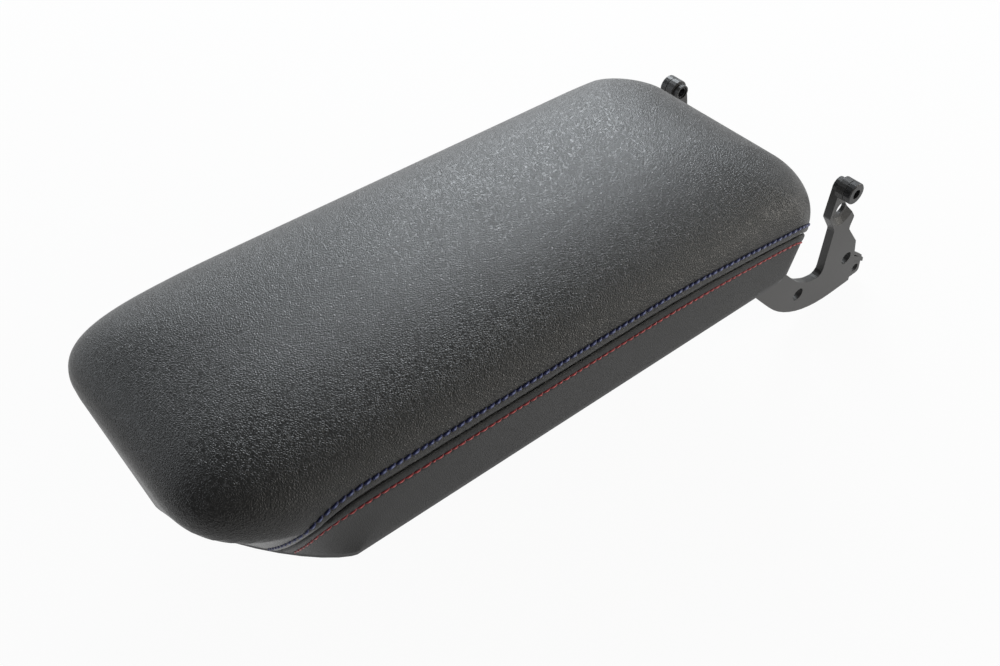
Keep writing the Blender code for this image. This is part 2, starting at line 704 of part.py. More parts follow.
def carrier(mat):
    """The rigid shell under the foam, with its ribs and its screw posts moulded on."""
    shell = dome("carrier", CARRIER_OUT, CARRIER_IN, FOAM_LOW, mat)
    middle = CARRIER_WALL / 2
    middle_surface = LidSurface(CARRIER_SIDE + middle, CARRIER_TOP + middle)
    envelope = dome("carrier_envelope", middle_surface, None, LINER_LOW, None)
    inside = []
    for y in RIBS_Y:
        low = (-WIDE_HALF_WIDTH, y - RIB_THICK / 2, RIB_LOW)
        high = (WIDE_HALF_WIDTH, y + RIB_THICK / 2, CROWN_HEIGHT)
        inside.append(box("cross_rib", low, high))
    for side in (-1, 1):
        low = (side * RIB_X - RIB_THICK / 2, RIB_FRONT, RIB_LOW + GAP)
        high = (side * RIB_X + RIB_THICK / 2, RIB_REAR, CROWN_HEIGHT)
        inside.append(box("long_rib", low, high))
        for y in ARM_SCREWS_Y:
            at, low = (side * ARM_SCREW_X, y), FOOT_TOP + GAP
            post = rod("arm_post", ARM_POST_RADIUS, low, CROWN_HEIGHT, at, sides=FEW_SIDES)
            inside.append(post)
        for x, y in LINER_SCREW_SPOTS:
            at = (side * x, y)
            post = rod("liner_post", LINER_POST_RADIUS, 0.0, CROWN_HEIGHT, at, sides=FEW_SIDES)
            inside.append(post)
    for piece in inside:
        combine(piece, envelope, "INTERSECT")
    combine_all(shell, inside, "UNION")
    pilots = []
    for side in (-1, 1):
        for y in ARM_SCREWS_Y:
            at, top = (side * ARM_SCREW_X, y), FOOT_TOP + ARM_SCREW_REACH + GAP
            pilot = rod("arm_pilot", ARM_SCREW_RADIUS + GAP, 0.0, top, at, sides=FEW_SIDES)
            pilots.append(pilot)
        for x, y in LINER_SCREW_SPOTS:
            at, top = (side * x, y), LINER_SCREW_LENGTH + GAP
            radius = LINER_SCREW_RADIUS + GAP
            pilots.append(rod("liner_pilot", radius, LINER_LOW, top, at, sides=FEW_SIDES))
    combine_all(shell, pilots, "DIFFERENCE")
    return shell


def liner(mat):
    """The moulded underside: its visible rim has draft, and it carries the latch and the bumpers."""
    bm = bmesh.new()
    upper = full_loop([(x, y, LINER_TOP) for x, y in low_outline(LINER_INSET)])
    lower = full_loop([(x, y, LINER_LOW) for x, y in low_outline(LINER_INSET + LINER_DRAFT)])
    rings = [[bm.verts.new(p) for p in ring] for ring in (lower, upper)]
    join_loops(bm, rings[0], rings[1])
    bm.faces.new(rings[0])
    bm.faces.new(rings[1])
    panel = solid("liner_panel", bm, mat)

    adds = []
    for side in (-1, 1):
        inner = side * PIN_EAR_X
        outer = inner + side * PIN_EAR_THICK
        low = (min(inner, outer), LATCH_Y - PIN_EAR_LENGTH / 2, LINER_TOP - LINER_THICK / 2)
        high = (max(inner, outer), LATCH_Y + PIN_EAR_LENGTH / 2, PIN_EAR_TOP)
        adds.append(box("pin_ear", low, high))
    stop_face = LATCH_Y + SPRING_STOP_FACE
    adds.append(
        box(
            "spring_stop",
            (-SPRING_STOP_WIDTH / 2, stop_face, LINER_TOP - LINER_THICK / 2),
            (SPRING_STOP_WIDTH / 2, stop_face + SPRING_STOP_THICK, SPRING_STOP_HEIGHT),
        )
    )
    combine_all(panel, adds, "UNION")

    through = (LINER_LOW - GAP, LINER_TOP + GAP)
    cuts = [
        box(
            "latch_window",
            (-WINDOW_HALF_WIDTH, WINDOW_FRONT, through[0]),
            (WINDOW_HALF_WIDTH, WINDOW_REAR, through[1]),
        ),
        rod(
            "pin_hole",
            LATCH_PIN_RADIUS + GAP,
            -LOW_HALF_WIDTH / 2,
            LOW_HALF_WIDTH / 2,
            (LATCH_Y, LATCH_Z),
            axis="X",
            sides=FEW_SIDES,
        ),
    ]
    for side in (-1, 1):
        inner = side * (ARM_INNER_X - ARM_SLOT_MARGIN)
        outer = side * (ARM_INNER_X + ARM_THICK + ARM_SLOT_MARGIN)
        rear = FOOT_REAR + ARM_SLOT_BEHIND
        low = (min(inner, outer), rear - ARM_SLOT_LENGTH, LINER_LOW - GAP)
        high = (max(inner, outer), rear, LINER_TOP + GAP)
        cuts.append(box("arm_slot", low, high))
        for x, y in LINER_SCREW_SPOTS:
            at = (side * x, y)
            ceiling = LINER_LOW + LINER_SCREW_HEAD_HEIGHT + GAP
            cuts.append(rod("screw_hole", LINER_SCREW_RADIUS + GAP, *through, at, sides=FEW_SIDES))
            cuts.append(rod("screw_seat", LINER_SCREW_HEAD + GAP, LINER_LOW - GAP, ceiling, at))
        for x, y in BUMPER_SPOTS:
            at = (side * x, y)
            cuts.append(rod("bumper_hole", BUMPER_STEM + GAP, *through, at, sides=FEW_SIDES))
    field = rounded(
        [
            (-LINER_FIELD_X, LINER_FIELD_FRONT, LINER_FIELD_CORNER),
            (LINER_FIELD_X, LINER_FIELD_FRONT, LINER_FIELD_CORNER),
            (LINER_FIELD_X, LINER_FIELD_REAR, LINER_FIELD_CORNER),
            (-LINER_FIELD_X, LINER_FIELD_REAR, LINER_FIELD_CORNER),
        ]
    )
    cuts.append(prism("field", field, LINER_LOW - GAP, LINER_LOW + LINER_FIELD, axis="Z"))
    combine_all(panel, cuts, "DIFFERENCE")
    return panel


def from_hinge(spot):
    """A place given from the hinge axis, as (y, z)."""
    return (HINGE_Y + spot[0], HINGE_Z + spot[1])


def arm_outline():
    """The gooseneck in side view, as (y, z): foot, throat, riser, knuckle, ear and lower sweep."""
    knuckle = []
    for k in range(10):
        a = math.radians(190 - 215 * k / 9)
        y = HINGE_Y + NECK_RADIUS * math.cos(a)
        z = HINGE_Z + NECK_RADIUS * math.sin(a)
        knuckle.append((y, z, 0.0))
    throat_top = LINER_LOW - THROAT_CLEARANCE
    foot = [
        (FOOT_FRONT, FOOT_LOW, FOOT_ROUND),
        (FOOT_FRONT, FOOT_TOP, 0.0),
        (FLANGE_REAR, FOOT_TOP, FOOT_ROUND),
        (FOOT_REAR, FOOT_TOP - FOOT_SLOPE, FOOT_ROUND),
        (FOOT_REAR, throat_top, THROAT_ROUNDS[0]),
        (FOOT_REAR + THROAT_LEVEL, throat_top, THROAT_ROUNDS[1]),
    ]
    throat = [(*from_hinge(corner), corner[2]) for corner in THROAT_CORNERS]
    back = [(*from_hinge(corner), corner[2]) for corner in BACK_CORNERS]
    sweep = [(*from_hinge(SWEEP_CORNER), SWEEP_CORNER[2])]
    heel = [(FOOT_REAR - HEEL_LENGTH, FOOT_LOW, HEEL_ROUND)]
    return rounded(foot + throat + knuckle + back + sweep + heel, steps=4)


def hinge_arm(mat):
    """The +X arm: one moulding with a screw flange in the lid and a pocketed knuckle behind it."""
    inner = ARM_INNER_X
    outer = ARM_INNER_X + ARM_THICK
    arm = prism("hinge_arm_right", arm_outline(), inner, outer, mat=mat)
    flange = box(
        "arm_flange",
        (outer - FLANGE_WIDTH, FOOT_FRONT, FOOT_TOP - FLANGE_THICK),
        (outer - ARM_THICK / 2, FLANGE_REAR - FOOT_ROUND, FOOT_TOP),
    )
    combine(arm, flange, "UNION")
    boss = rod(
        "arm_boss",
        KNUCKLE_RADIUS,
        inner + KNUCKLE_START,
        inner + KNUCKLE_LENGTH,
        (HINGE_Y, HINGE_Z),
        axis="X",
    )
    combine(arm, boss, "UNION")
    tab_top = [from_hinge(end) for end in TAB_ENDS]
    tab_low = [(y, z - TAB_THICK) for y, z in reversed(tab_top)]
    reach = (inner + ARM_THICK / 2, outer)
    tab = prism("arm_tab", tab_top + tab_low, *reach)
    ear = [from_hinge(corner) for corner in EAR_CORNERS]
    relief = prism("ear_relief", ear, outer - EAR_RELIEF, outer + EAR_RELIEF)
    centre = from_hinge(POCKET_SPOT)
    floor = inner + POCKET_FLOOR
    flare = ((POCKET_RADIUS, floor), (POCKET_RADIUS + POCKET_FLARE, outer + GAP))
    pocket = turned("arm_pocket", flare, None, (0.0, *centre), "X", 28)
    throat = box(
        "pocket_mouth",
        (floor, HINGE_Y + MOUTH_FRONT, centre[1]),
        (outer + GAP, centre[0] + POCKET_RADIUS, HINGE_Z - KNUCKLE_RADIUS - POCKET_ROOF),
    )
    combine(arm, relief, "DIFFERENCE")
    combine(arm, tab, "UNION")
    combine(arm, pocket, "DIFFERENCE")
    combine(arm, throat, "DIFFERENCE")
    through = (inner - GAP, outer + KNUCKLE_LENGTH)
    bore = rod("arm_bore", BUSH_SPIGOT_RADIUS + GAP, *through, (HINGE_Y, HINGE_Z), axis="X")
    combine(arm, bore, "DIFFERENCE")
    holes = [(POCKET_SPOT, POCKET_HOLE_RADIUS), (EAR_HOLE_SPOT, EAR_HOLE_RADIUS)]
    holes += [(spot, ARM_HOLE_RADIUS) for spot in ARM_HOLE_SPOTS]
    for spot, radius in holes:
        combine(arm, rod("arm_hole", radius, *through, from_hinge(spot), axis="X"), "DIFFERENCE")
    for y in ARM_SCREWS_Y:
        low, high = FOOT_TOP - 2 * FLANGE_THICK, FOOT_TOP + GAP
        hole = rod("flange_hole", ARM_SCREW_RADIUS + GAP, low, high, (ARM_SCREW_X, y), sides=FEW_SIDES)
        combine(arm, hole, "DIFFERENCE")
    return arm


def hinge_bush(name, side, mat):
    """The bush pressed into a knuckle: a collar outboard of it and a spigot in its bore."""
    face = ARM_INNER_X + KNUCKLE_LENGTH + GAP
    profile = (
        (PIN_BORE_RADIUS, face - BUSH_SPIGOT_LENGTH),
        (BUSH_SPIGOT_RADIUS, face - BUSH_SPIGOT_LENGTH),
        (BUSH_SPIGOT_RADIUS, face),
        (KNUCKLE_RADIUS, face),
        (KNUCKLE_RADIUS, face + BUSH_LENGTH - KNUCKLE_CHAMFER),
        (KNUCKLE_RADIUS - KNUCKLE_CHAMFER, face + BUSH_LENGTH),
        (PIN_BORE_RADIUS, face + BUSH_LENGTH),
    )
    bm = bmesh.new()
    rings = []
    for radius, along in profile:
        ring = []
        for k in range(SIDES_ROUND):
            a = 2 * math.pi * k / SIDES_ROUND
            y, z = HINGE_Y + radius * math.cos(a), HINGE_Z + radius * math.sin(a)
            ring.append(bm.verts.new((side * along, y, z)))
        rings.append(ring)
    for first, second in zip(rings, rings[1:] + rings[:1]):
        join_loops(bm, first, second)
    return solid(name, bm, mat)


def pan_screw(name, at, head_low, head_height, head_radius, radius, tip, mat):
    """A pan head screw that points up."""
    seat = head_low + head_height
    profile = (
        (head_radius * 0.7, head_low),
        (head_radius, head_low + head_height * 0.5),
        (head_radius, seat),
        (radius, seat),
        (radius, tip - radius),
        (radius * 0.3, tip),
    )
    return turned(name, profile, mat, (at[0], at[1], 0.0), sides=FEW_SIDES)


def bumper(name, at, mat):
    """A rubber bumper: a low dome below the liner, and a barbed stem through it."""
    low = LINER_LOW - GAP - BUMPER_HEIGHT
    profile = (
        (BUMPER_RADIUS * 0.6, low),
        (BUMPER_RADIUS, low + BUMPER_HEIGHT * 0.5),
        (BUMPER_RADIUS, LINER_LOW - GAP),
        (BUMPER_STEM, LINER_LOW - GAP),
        (BUMPER_STEM, LINER_TOP + GAP),
        (BUMPER_BARB, LINER_TOP + GAP),
        (BUMPER_STEM * 0.6, LINER_TOP + GAP + BUMPER_BARB),
    )
    return turned(name, profile, mat, (at[0], at[1], 0.0), sides=12)


def latch_lever(mat):
    """The latch: a finger paddle, two webs up to barrels on the pin, and a hook that points back."""
    lever = box(
        "latch_lever",
        (-LATCH_HALF_WIDTH, PADDLE_FRONT, PADDLE_TOP - PADDLE_THICK),
        (LATCH_HALF_WIDTH, PADDLE_REAR, PADDLE_TOP),
        mat,
    )
    parts = []
    for side in (-1, 1):
        edge = side * LATCH_HALF_WIDTH
        inner = side * (LATCH_HALF_WIDTH - WEB_THICK)
        web = [
            (WEB_FRONT, PADDLE_TOP - PADDLE_THICK / 2),
            (PADDLE_REAR - GAP, PADDLE_TOP - PADDLE_THICK / 2),
            (LATCH_Y + LATCH_BARREL * 0.8, LATCH_Z),
            (LATCH_Y - LATCH_BARREL * 0.8, LATCH_Z),
        ]
        parts.append(prism("latch_web", web, min(inner, edge), max(inner, edge)))
        barrel = side * LATCH_SPRING_ROOM
        low, high = min(barrel, edge), max(barrel, edge)
        parts.append(rod("latch_barrel", LATCH_BARREL, low, high, (LATCH_Y, LATCH_Z), axis="X", sides=16))
    root = PADDLE_TOP - PADDLE_THICK
    hook = [
        (PADDLE_REAR - GAP - HOOK_THICK, root + PADDLE_THICK / 2),
        (PADDLE_REAR - GAP, root + PADDLE_THICK / 2),
        (PADDLE_REAR - GAP, root - HOOK_DROP + HOOK_TIP_HEIGHT),
        (PADDLE_REAR + HOOK_TIP, root - HOOK_DROP + HOOK_TIP_HEIGHT),
        (PADDLE_REAR + HOOK_TIP, root - HOOK_DROP + HOOK_TIP_HEIGHT * 0.6),
        (PADDLE_REAR - HOOK_TIP * 0.6, root - HOOK_DROP),
        (PADDLE_REAR - GAP - HOOK_THICK, root - HOOK_DROP + HOOK_TIP_HEIGHT * 0.6),
    ]
    parts.append(prism("latch_hook", hook, -HOOK_HALF_WIDTH, HOOK_HALF_WIDTH))
    combine_all(lever, parts, "UNION")
    bore = rod(
        "latch_bore",
        LATCH_PIN_RADIUS + GAP,
        -LATCH_HALF_WIDTH - GAP,
        LATCH_HALF_WIDTH + GAP,
        (LATCH_Y, LATCH_Z),
        axis="X",
        sides=16,
    )
    combine(lever, bore, "DIFFERENCE")
    return lever


def latch_pin(mat):
    """The pin through the liner's ears and the lever, with a head at one end."""
    end = PIN_EAR_X + PIN_EAR_THICK + GAP
    profile = (
        (LATCH_PIN_RADIUS, -end - LATCH_PIN_END),
        (LATCH_PIN_RADIUS, end),
        (LATCH_PIN_HEAD, end),
        (LATCH_PIN_HEAD, end + LATCH_PIN_END),
    )
    return turned("latch_pin", profile, mat, (0.0, LATCH_Y, LATCH_Z), "X", 16)


def latch_spring(mat):
    """The torsion spring on the pin: one leg on the paddle, the other against the liner's stop."""
    leg_y = -SPRING_LEG
    leg_z = PADDLE_TOP + GAP + SPRING_WIRE - LATCH_Z
    stop_y = SPRING_STOP_FACE - GAP - SPRING_WIRE
    stop_z = SPRING_STOP_HEIGHT - SPRING_STOP_MARGIN - LATCH_Z
    reach = math.hypot(leg_y, leg_z)
    start = math.atan2(leg_z, leg_y) + math.acos(SPRING_RADIUS / reach)
    reach = math.hypot(stop_y, stop_z)
    end = math.atan2(stop_z, stop_y) - math.acos(SPRING_RADIUS / reach)
    while end < start:
        end += 2 * math.pi
    end += 2 * math.pi * (SPRING_TURNS - 1)
    points = [(-SPRING_HALF_WIDTH, leg_y, leg_z)]
    steps = 10 * SPRING_TURNS
    for k in range(steps + 1):
        a = start + (end - start) * k / steps
        x = SPRING_HALF_WIDTH * (2 * k / steps - 1)
        points.append((x, SPRING_RADIUS * math.cos(a), SPRING_RADIUS * math.sin(a)))
    points.append((SPRING_HALF_WIDTH, stop_y, stop_z))
    curve = bpy.data.curves.new("latch_spring", "CURVE")
    curve.dimensions = "3D"
    curve.bevel_depth = SPRING_WIRE
    curve.bevel_resolution = 1
    curve.use_fill_caps = True
    spline = curve.splines.new("POLY")
    spline.points.add(len(points) - 1)
    for target, p in zip(spline.points, points):
        target.co = (p[0], p[1] + LATCH_Y, p[2] + LATCH_Z, 1.0)
    obj = bpy.data.objects.new("latch_spring", curve)
    bpy.context.scene.collection.objects.link(obj)
    curve.materials.append(mat)
    return place(obj)


clear_scene()

LID_FRAME = bpy.data.objects.new("lid_frame", None)
bpy.context.scene.collection.objects.link(LID_FRAME)
LID_FRAME.location = (0.0, -HINGE_Y, -HINGE_Z)

FOAM_SIDE = SKIN + GAP
CARRIER_SIDE = FOAM_SIDE + SIDE_FOAM + GAP
CARRIER_TOP = FOAM_SIDE + TOP_FOAM + GAP
OUTSIDE = LidSurface(0.0, 0.0)
UNDER_SKIN = LidSurface(SKIN, SKIN)
FOAM_OUT = LidSurface(FOAM_SIDE, FOAM_SIDE)
FOAM_IN = LidSurface(FOAM_SIDE + SIDE_FOAM, FOAM_SIDE + TOP_FOAM)
CARRIER_OUT = LidSurface(CARRIER_SIDE, CARRIER_TOP)
CARRIER_IN = LidSurface(CARRIER_SIDE + CARRIER_WALL, CARRIER_TOP + CARRIER_WALL)

LEATHER = material("black_leather", (0.022, 0.022, 0.023), 0.5)
FOAM = material("grey_foam", (0.3, 0.3, 0.28), 0.9)
CARRIER_PLASTIC = material("carrier_plastic", (0.03, 0.03, 0.03), 0.6)
LINER_PLASTIC = material("liner_plastic", (0.018, 0.018, 0.019), 0.55)
ARM_PLASTIC = material("arm_plastic", (0.05, 0.048, 0.047), 0.5)
BUSH_PLASTIC = material("bush_plastic", (0.015, 0.015, 0.016), 0.4)
RUBBER = material("black_rubber", (0.012, 0.012, 0.012), 0.8)
STEEL = material("zinc_steel", (0.5, 0.5, 0.5), 0.35, 1.0)
LATCH_PLASTIC = material("latch_plastic", (0.02, 0.02, 0.021), 0.45)

top_cover(LEATHER)
mirrored(side_cover(LEATHER), "side_cover_left")
foam_pad(FOAM)
carrier(CARRIER_PLASTIC)
liner(LINER_PLASTIC)
mirrored(hinge_arm(ARM_PLASTIC), "hinge_arm_left")

screw_count = 0
bumper_count = 0
for word, sign in (("right", 1), ("left", -1)):
    hinge_bush("hinge_bush_" + word, sign, BUSH_PLASTIC)
    for number, screw_y in enumerate(ARM_SCREWS_Y, 1):
        pan_screw(
            "arm_screw_%s_%d" % (word, number),
            (sign * ARM_SCREW_X, screw_y),
            FOOT_TOP - FLANGE_THICK - GAP - ARM_SCREW_HEAD_HEIGHT,
            ARM_SCREW_HEAD_HEIGHT,
            ARM_SCREW_HEAD,
            ARM_SCREW_RADIUS,
            FOOT_TOP + ARM_SCREW_REACH,
            STEEL,
        )
    for spot_x, spot_y in LINER_SCREW_SPOTS:
        screw_count += 1
        pan_screw(
            "liner_screw_%d" % screw_count,
            (sign * spot_x, spot_y),
            LINER_LOW,
            LINER_SCREW_HEAD_HEIGHT,
            LINER_SCREW_HEAD,
            LINER_SCREW_RADIUS,
            LINER_SCREW_LENGTH,
            STEEL,
        )
    for spot_x, spot_y in BUMPER_SPOTS:
        bumper_count += 1
        bumper("bumper_%d" % bumper_count, (sign * spot_x, spot_y), RUBBER)

latch_lever(LATCH_PLASTIC)
latch_pin(STEEL)
latch_spring(STEEL)
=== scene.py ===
"""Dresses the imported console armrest: grained leather, sewn seams, moulded arms and a studio."""

import math

import bmesh
import bpy
import numpy as np
from mathutils import Matrix, Vector
from mathutils.bvhtree import BVHTree
from mathutils.kdtree import KDTree


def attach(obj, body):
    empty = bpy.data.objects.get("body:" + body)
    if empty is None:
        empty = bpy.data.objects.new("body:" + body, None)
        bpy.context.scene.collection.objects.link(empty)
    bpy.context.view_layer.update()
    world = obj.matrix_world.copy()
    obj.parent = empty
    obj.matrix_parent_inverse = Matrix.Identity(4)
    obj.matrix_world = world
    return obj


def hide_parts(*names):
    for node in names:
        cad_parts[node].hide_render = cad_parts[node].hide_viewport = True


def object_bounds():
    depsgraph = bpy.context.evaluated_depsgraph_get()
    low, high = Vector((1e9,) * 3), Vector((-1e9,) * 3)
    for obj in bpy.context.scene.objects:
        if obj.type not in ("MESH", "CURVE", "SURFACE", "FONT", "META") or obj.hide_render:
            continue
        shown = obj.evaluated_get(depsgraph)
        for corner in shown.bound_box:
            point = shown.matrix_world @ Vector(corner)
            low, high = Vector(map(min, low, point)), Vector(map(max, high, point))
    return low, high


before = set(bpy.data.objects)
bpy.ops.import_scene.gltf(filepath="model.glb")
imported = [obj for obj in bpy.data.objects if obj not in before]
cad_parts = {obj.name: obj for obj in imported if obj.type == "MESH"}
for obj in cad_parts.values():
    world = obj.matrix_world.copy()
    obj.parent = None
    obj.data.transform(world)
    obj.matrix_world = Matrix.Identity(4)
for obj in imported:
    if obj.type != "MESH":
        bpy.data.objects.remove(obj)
cad_box = [list(corner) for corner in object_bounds()]


# Studio
# A sheet of white paper on a table, a white surround, and rectangular soft boxes for the light.
# Most of the light comes from the far side, and the camera stands high, off the lid's near corner.

MM = 0.001
PHOTO_WIDTH = 1000
SENSOR = 36.0
FOCAL_PIXELS = 1114.8
CAMERA_PLACE = Vector((329.6, -466.8, 377.8)) * MM
CAMERA_AZIMUTH = math.radians(50.57)
CAMERA_ELEVATION = math.radians(44.45)
NEAR_CLIP = 10.0 * MM


def turn_towards(direction):
    """A rotation that points an object's -Z along a direction, with its Y as high as it goes."""
    ahead = Vector(direction).normalized()
    across = ahead.cross(Vector((0.0, 0.0, 1.0))).normalized()
    above = across.cross(ahead)
    return Matrix((across, above, -ahead)).transposed().to_4x4()


camera_data = bpy.data.cameras.new("photo_camera")
camera_data.sensor_width = SENSOR
camera_data.lens = SENSOR * FOCAL_PIXELS / PHOTO_WIDTH
camera_data.clip_start = NEAR_CLIP
camera = bpy.data.objects.new("photo_camera", camera_data)
bpy.context.scene.collection.objects.link(camera)
level = math.cos(CAMERA_ELEVATION)
line_of_sight = (
    -math.sin(CAMERA_AZIMUTH) * level,
    math.cos(CAMERA_AZIMUTH) * level,
    -math.sin(CAMERA_ELEVATION),
)
camera.matrix_world = Matrix.Translation(CAMERA_PLACE) @ turn_towards(line_of_sight)
bpy.context.scene.camera = camera
bpy.context.scene.view_settings.view_transform = "Standard"

COOL = (0.91, 0.96, 1.0)
WARM = (1.0, 0.97, 0.9)
SOFT_BOXES = (
    ("far_rear_box", (-0.75, 0.46, 0.65), (0.6, 0.5), 12.5, COOL),
    ("far_low_box", (-1.1, 0.1, 0.3), (1.2, 0.35), 5.0, COOL),
    ("far_front_box", (-0.8, -0.9, 0.4), (0.6, 0.6), 2.8, COOL),
    ("rear_box", (-0.1, 0.9, 0.65), (1.0, 0.6), 3.6, COOL),
    ("near_rear_box", (0.6, 0.75, 0.35), (0.6, 0.5), 6.0, WARM),
    ("near_box", (0.95, -0.1, 0.2), (0.4, 1.0), 2.4, WARM),
)
LIGHT_AIM = Vector((0.0, -0.2, 0.0))
for name, place, size, power, tone in SOFT_BOXES:
    lamp_data = bpy.data.lights.new(name, "AREA")
    lamp_data.shape = "RECTANGLE"
    lamp_data.size, lamp_data.size_y = size
    lamp_data.energy = power
    lamp_data.color = tone
    lamp = bpy.data.objects.new(name, lamp_data)
    bpy.context.scene.collection.objects.link(lamp)
    lamp.matrix_world = Matrix.Translation(place) @ turn_towards(LIGHT_AIM - Vector(place))


def join_nodes(tree, links):
    """Links pairs of (node, socket name) and (node, socket name)."""
    for (source, output), (target, entry) in links:
        tree.links.new(source.outputs[output], target.inputs[entry])


WHITE = (1.0, 1.0, 1.0, 1.0)
SURROUND_LIGHT = 0.17
world = bpy.data.worlds.new("white_surround")
bpy.context.scene.world = world
world.use_nodes = True
tree = world.node_tree
tree.nodes.clear()
paths = tree.nodes.new("ShaderNodeLightPath")
white = tree.nodes.new("ShaderNodeBackground")
white.inputs["Color"].default_value = WHITE
white.inputs["Strength"].default_value = 1.0
dim = tree.nodes.new("ShaderNodeBackground")
dim.inputs["Color"].default_value = WHITE
dim.inputs["Strength"].default_value = SURROUND_LIGHT
seen = tree.nodes.new("ShaderNodeMath")
seen.operation = "MAXIMUM"
pick = tree.nodes.new("ShaderNodeMixShader")
surround = tree.nodes.new("ShaderNodeOutputWorld")
join_nodes(
    tree,
    (
        ((paths, "Is Camera Ray"), (seen, 0)),
        ((paths, "Is Transmission Ray"), (seen, 1)),
        ((seen, "Value"), (pick, "Fac")),
        ((dim, "Background"), (pick, 1)),
        ((white, "Background"), (pick, 2)),
        ((pick, "Shader"), (surround, "Surface")),
    ),
)

TABLE_DROP = 2.0 * MM
TABLE_HALF = 4.0
PAPER_MATT = (0.5, 0.5, 0.5, 1.0)
PAPER_SHARE = 0.95
table_height = cad_box[0][2] - TABLE_DROP
table_mesh = bpy.data.meshes.new("white_table")
table_signs = ((-1, -1), (1, -1), (1, 1), (-1, 1))
table_corners = [(x * TABLE_HALF, y * TABLE_HALF, table_height) for x, y in table_signs]
table_mesh.from_pydata(table_corners, [], [(0, 1, 2, 3)])
table = bpy.data.objects.new("white_table", table_mesh)
bpy.context.scene.collection.objects.link(table)
paper = bpy.data.materials.new("white_paper")
paper.use_nodes = True
tree = paper.node_tree
tree.nodes.clear()
paths = tree.nodes.new("ShaderNodeLightPath")
matt = tree.nodes.new("ShaderNodeBsdfDiffuse")
matt.inputs["Color"].default_value = PAPER_MATT
glow = tree.nodes.new("ShaderNodeEmission")
glow.inputs["Strength"].default_value = 1.0
mirrored = tree.nodes.new("ShaderNodeMath")
mirrored.operation = "MAXIMUM"
seen = tree.nodes.new("ShaderNodeMath")
seen.operation = "MAXIMUM"
share = tree.nodes.new("ShaderNodeMath")
share.operation = "MULTIPLY"
share.inputs[1].default_value = PAPER_SHARE
pick = tree.nodes.new("ShaderNodeMixShader")
surface = tree.nodes.new("ShaderNodeOutputMaterial")
join_nodes(
    tree,
    (
        ((paths, "Is Glossy Ray"), (mirrored, 0)),
        ((paths, "Is Transmission Ray"), (mirrored, 1)),
        ((paths, "Is Camera Ray"), (seen, 0)),
        ((mirrored, "Value"), (seen, 1)),
        ((seen, "Value"), (share, 0)),
        ((share, "Value"), (pick, "Fac")),
        ((matt, "BSDF"), (pick, 1)),
        ((glow, "Emission"), (pick, 2)),
        ((pick, "Shader"), (surface, "Surface")),
    ),
)
table_mesh.materials.append(paper)


# Carrier
# The rigid shell inside the lid, injection moulded in black plastic with ribs and screw posts.
# The arms and the liner are screwed to it, and the foam and the leather wrap over it.

PER_METRE = 1.0 / MM
EDGE_RADIUS = 0.45 * MM
MOULD_FLOW = 45.0
MOULD_RELIEF = 0.6
MOULD_SMOOTHER, MOULD_DULLER = 0.05, 0.07
MOULD_DARKER, MOULD_LIGHTER = 0.85, 1.2
CARRIER_BLACK = (0.03, 0.03, 0.03)


def moulded_plastic(name, colour, roughness, texture, depth):
    """A moulded plastic with a spark-eroded texture: texture is its grain in mm, depth in mm."""
    mat = bpy.data.materials.new(name)
    mat.use_nodes = True
    nodes = mat.node_tree.nodes
    shader = nodes["Principled BSDF"]
    place = nodes.new("ShaderNodeTexCoord")
    grain = nodes.new("ShaderNodeTexNoise")
    grain.inputs["Scale"].default_value = PER_METRE / texture
    grain.inputs["Detail"].default_value = 3.0
    flow = nodes.new("ShaderNodeTexNoise")
    flow.inputs["Scale"].default_value = PER_METRE / MOULD_FLOW
    flow.inputs["Detail"].default_value = 2.0
    gloss = nodes.new("ShaderNodeMapRange")
    gloss.inputs["To Min"].default_value = roughness - MOULD_SMOOTHER
    gloss.inputs["To Max"].default_value = roughness + MOULD_DULLER
    tint = nodes.new("ShaderNodeMix")
    tint.data_type = "RGBA"
    tint.inputs["A"].default_value = (*(c * MOULD_DARKER for c in colour), 1.0)
    tint.inputs["B"].default_value = (*(min(c * MOULD_LIGHTER, 1.0) for c in colour), 1.0)
    edges = nodes.new("ShaderNodeBevel")
    edges.samples = 4
    edges.inputs["Radius"].default_value = EDGE_RADIUS
    relief = nodes.new("ShaderNodeBump")
    relief.inputs["Strength"].default_value = MOULD_RELIEF
    relief.inputs["Distance"].default_value = depth * MM
    join_nodes(
        mat.node_tree,
        (
            ((place, "Object"), (grain, "Vector")),
            ((place, "Object"), (flow, "Vector")),
            ((grain, "Fac"), (relief, "Height")),
            ((edges, "Normal"), (relief, "Normal")),
            ((flow, "Fac"), (gloss, "Value")),
            ((flow, "Fac"), (tint, "Factor")),
            ((tint, "Result"), (shader, "Base Color")),
            ((gloss, "Result"), (shader, "Roughness")),
            ((relief, "Normal"), (shader, "Normal")),
        ),
    )
    return mat


def finish_node(node, mat):
    """Gives a CAD node its own finish in place of the plain one it came with."""
    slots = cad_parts[node].data.materials
    for k in range(len(slots)):
        slots[k] = mat


finish_node(
    "carrier",
    moulded_plastic("carrier_plastic_finish", CARRIER_BLACK, roughness=0.55, texture=0.5, depth=0.03),
)


# Foam pad
# Grey polyurethane foam, moulded to the lid's shape with a thin wall all round and glued over the
# carrier. A channel in it takes the folded seam of the leather on each long side.

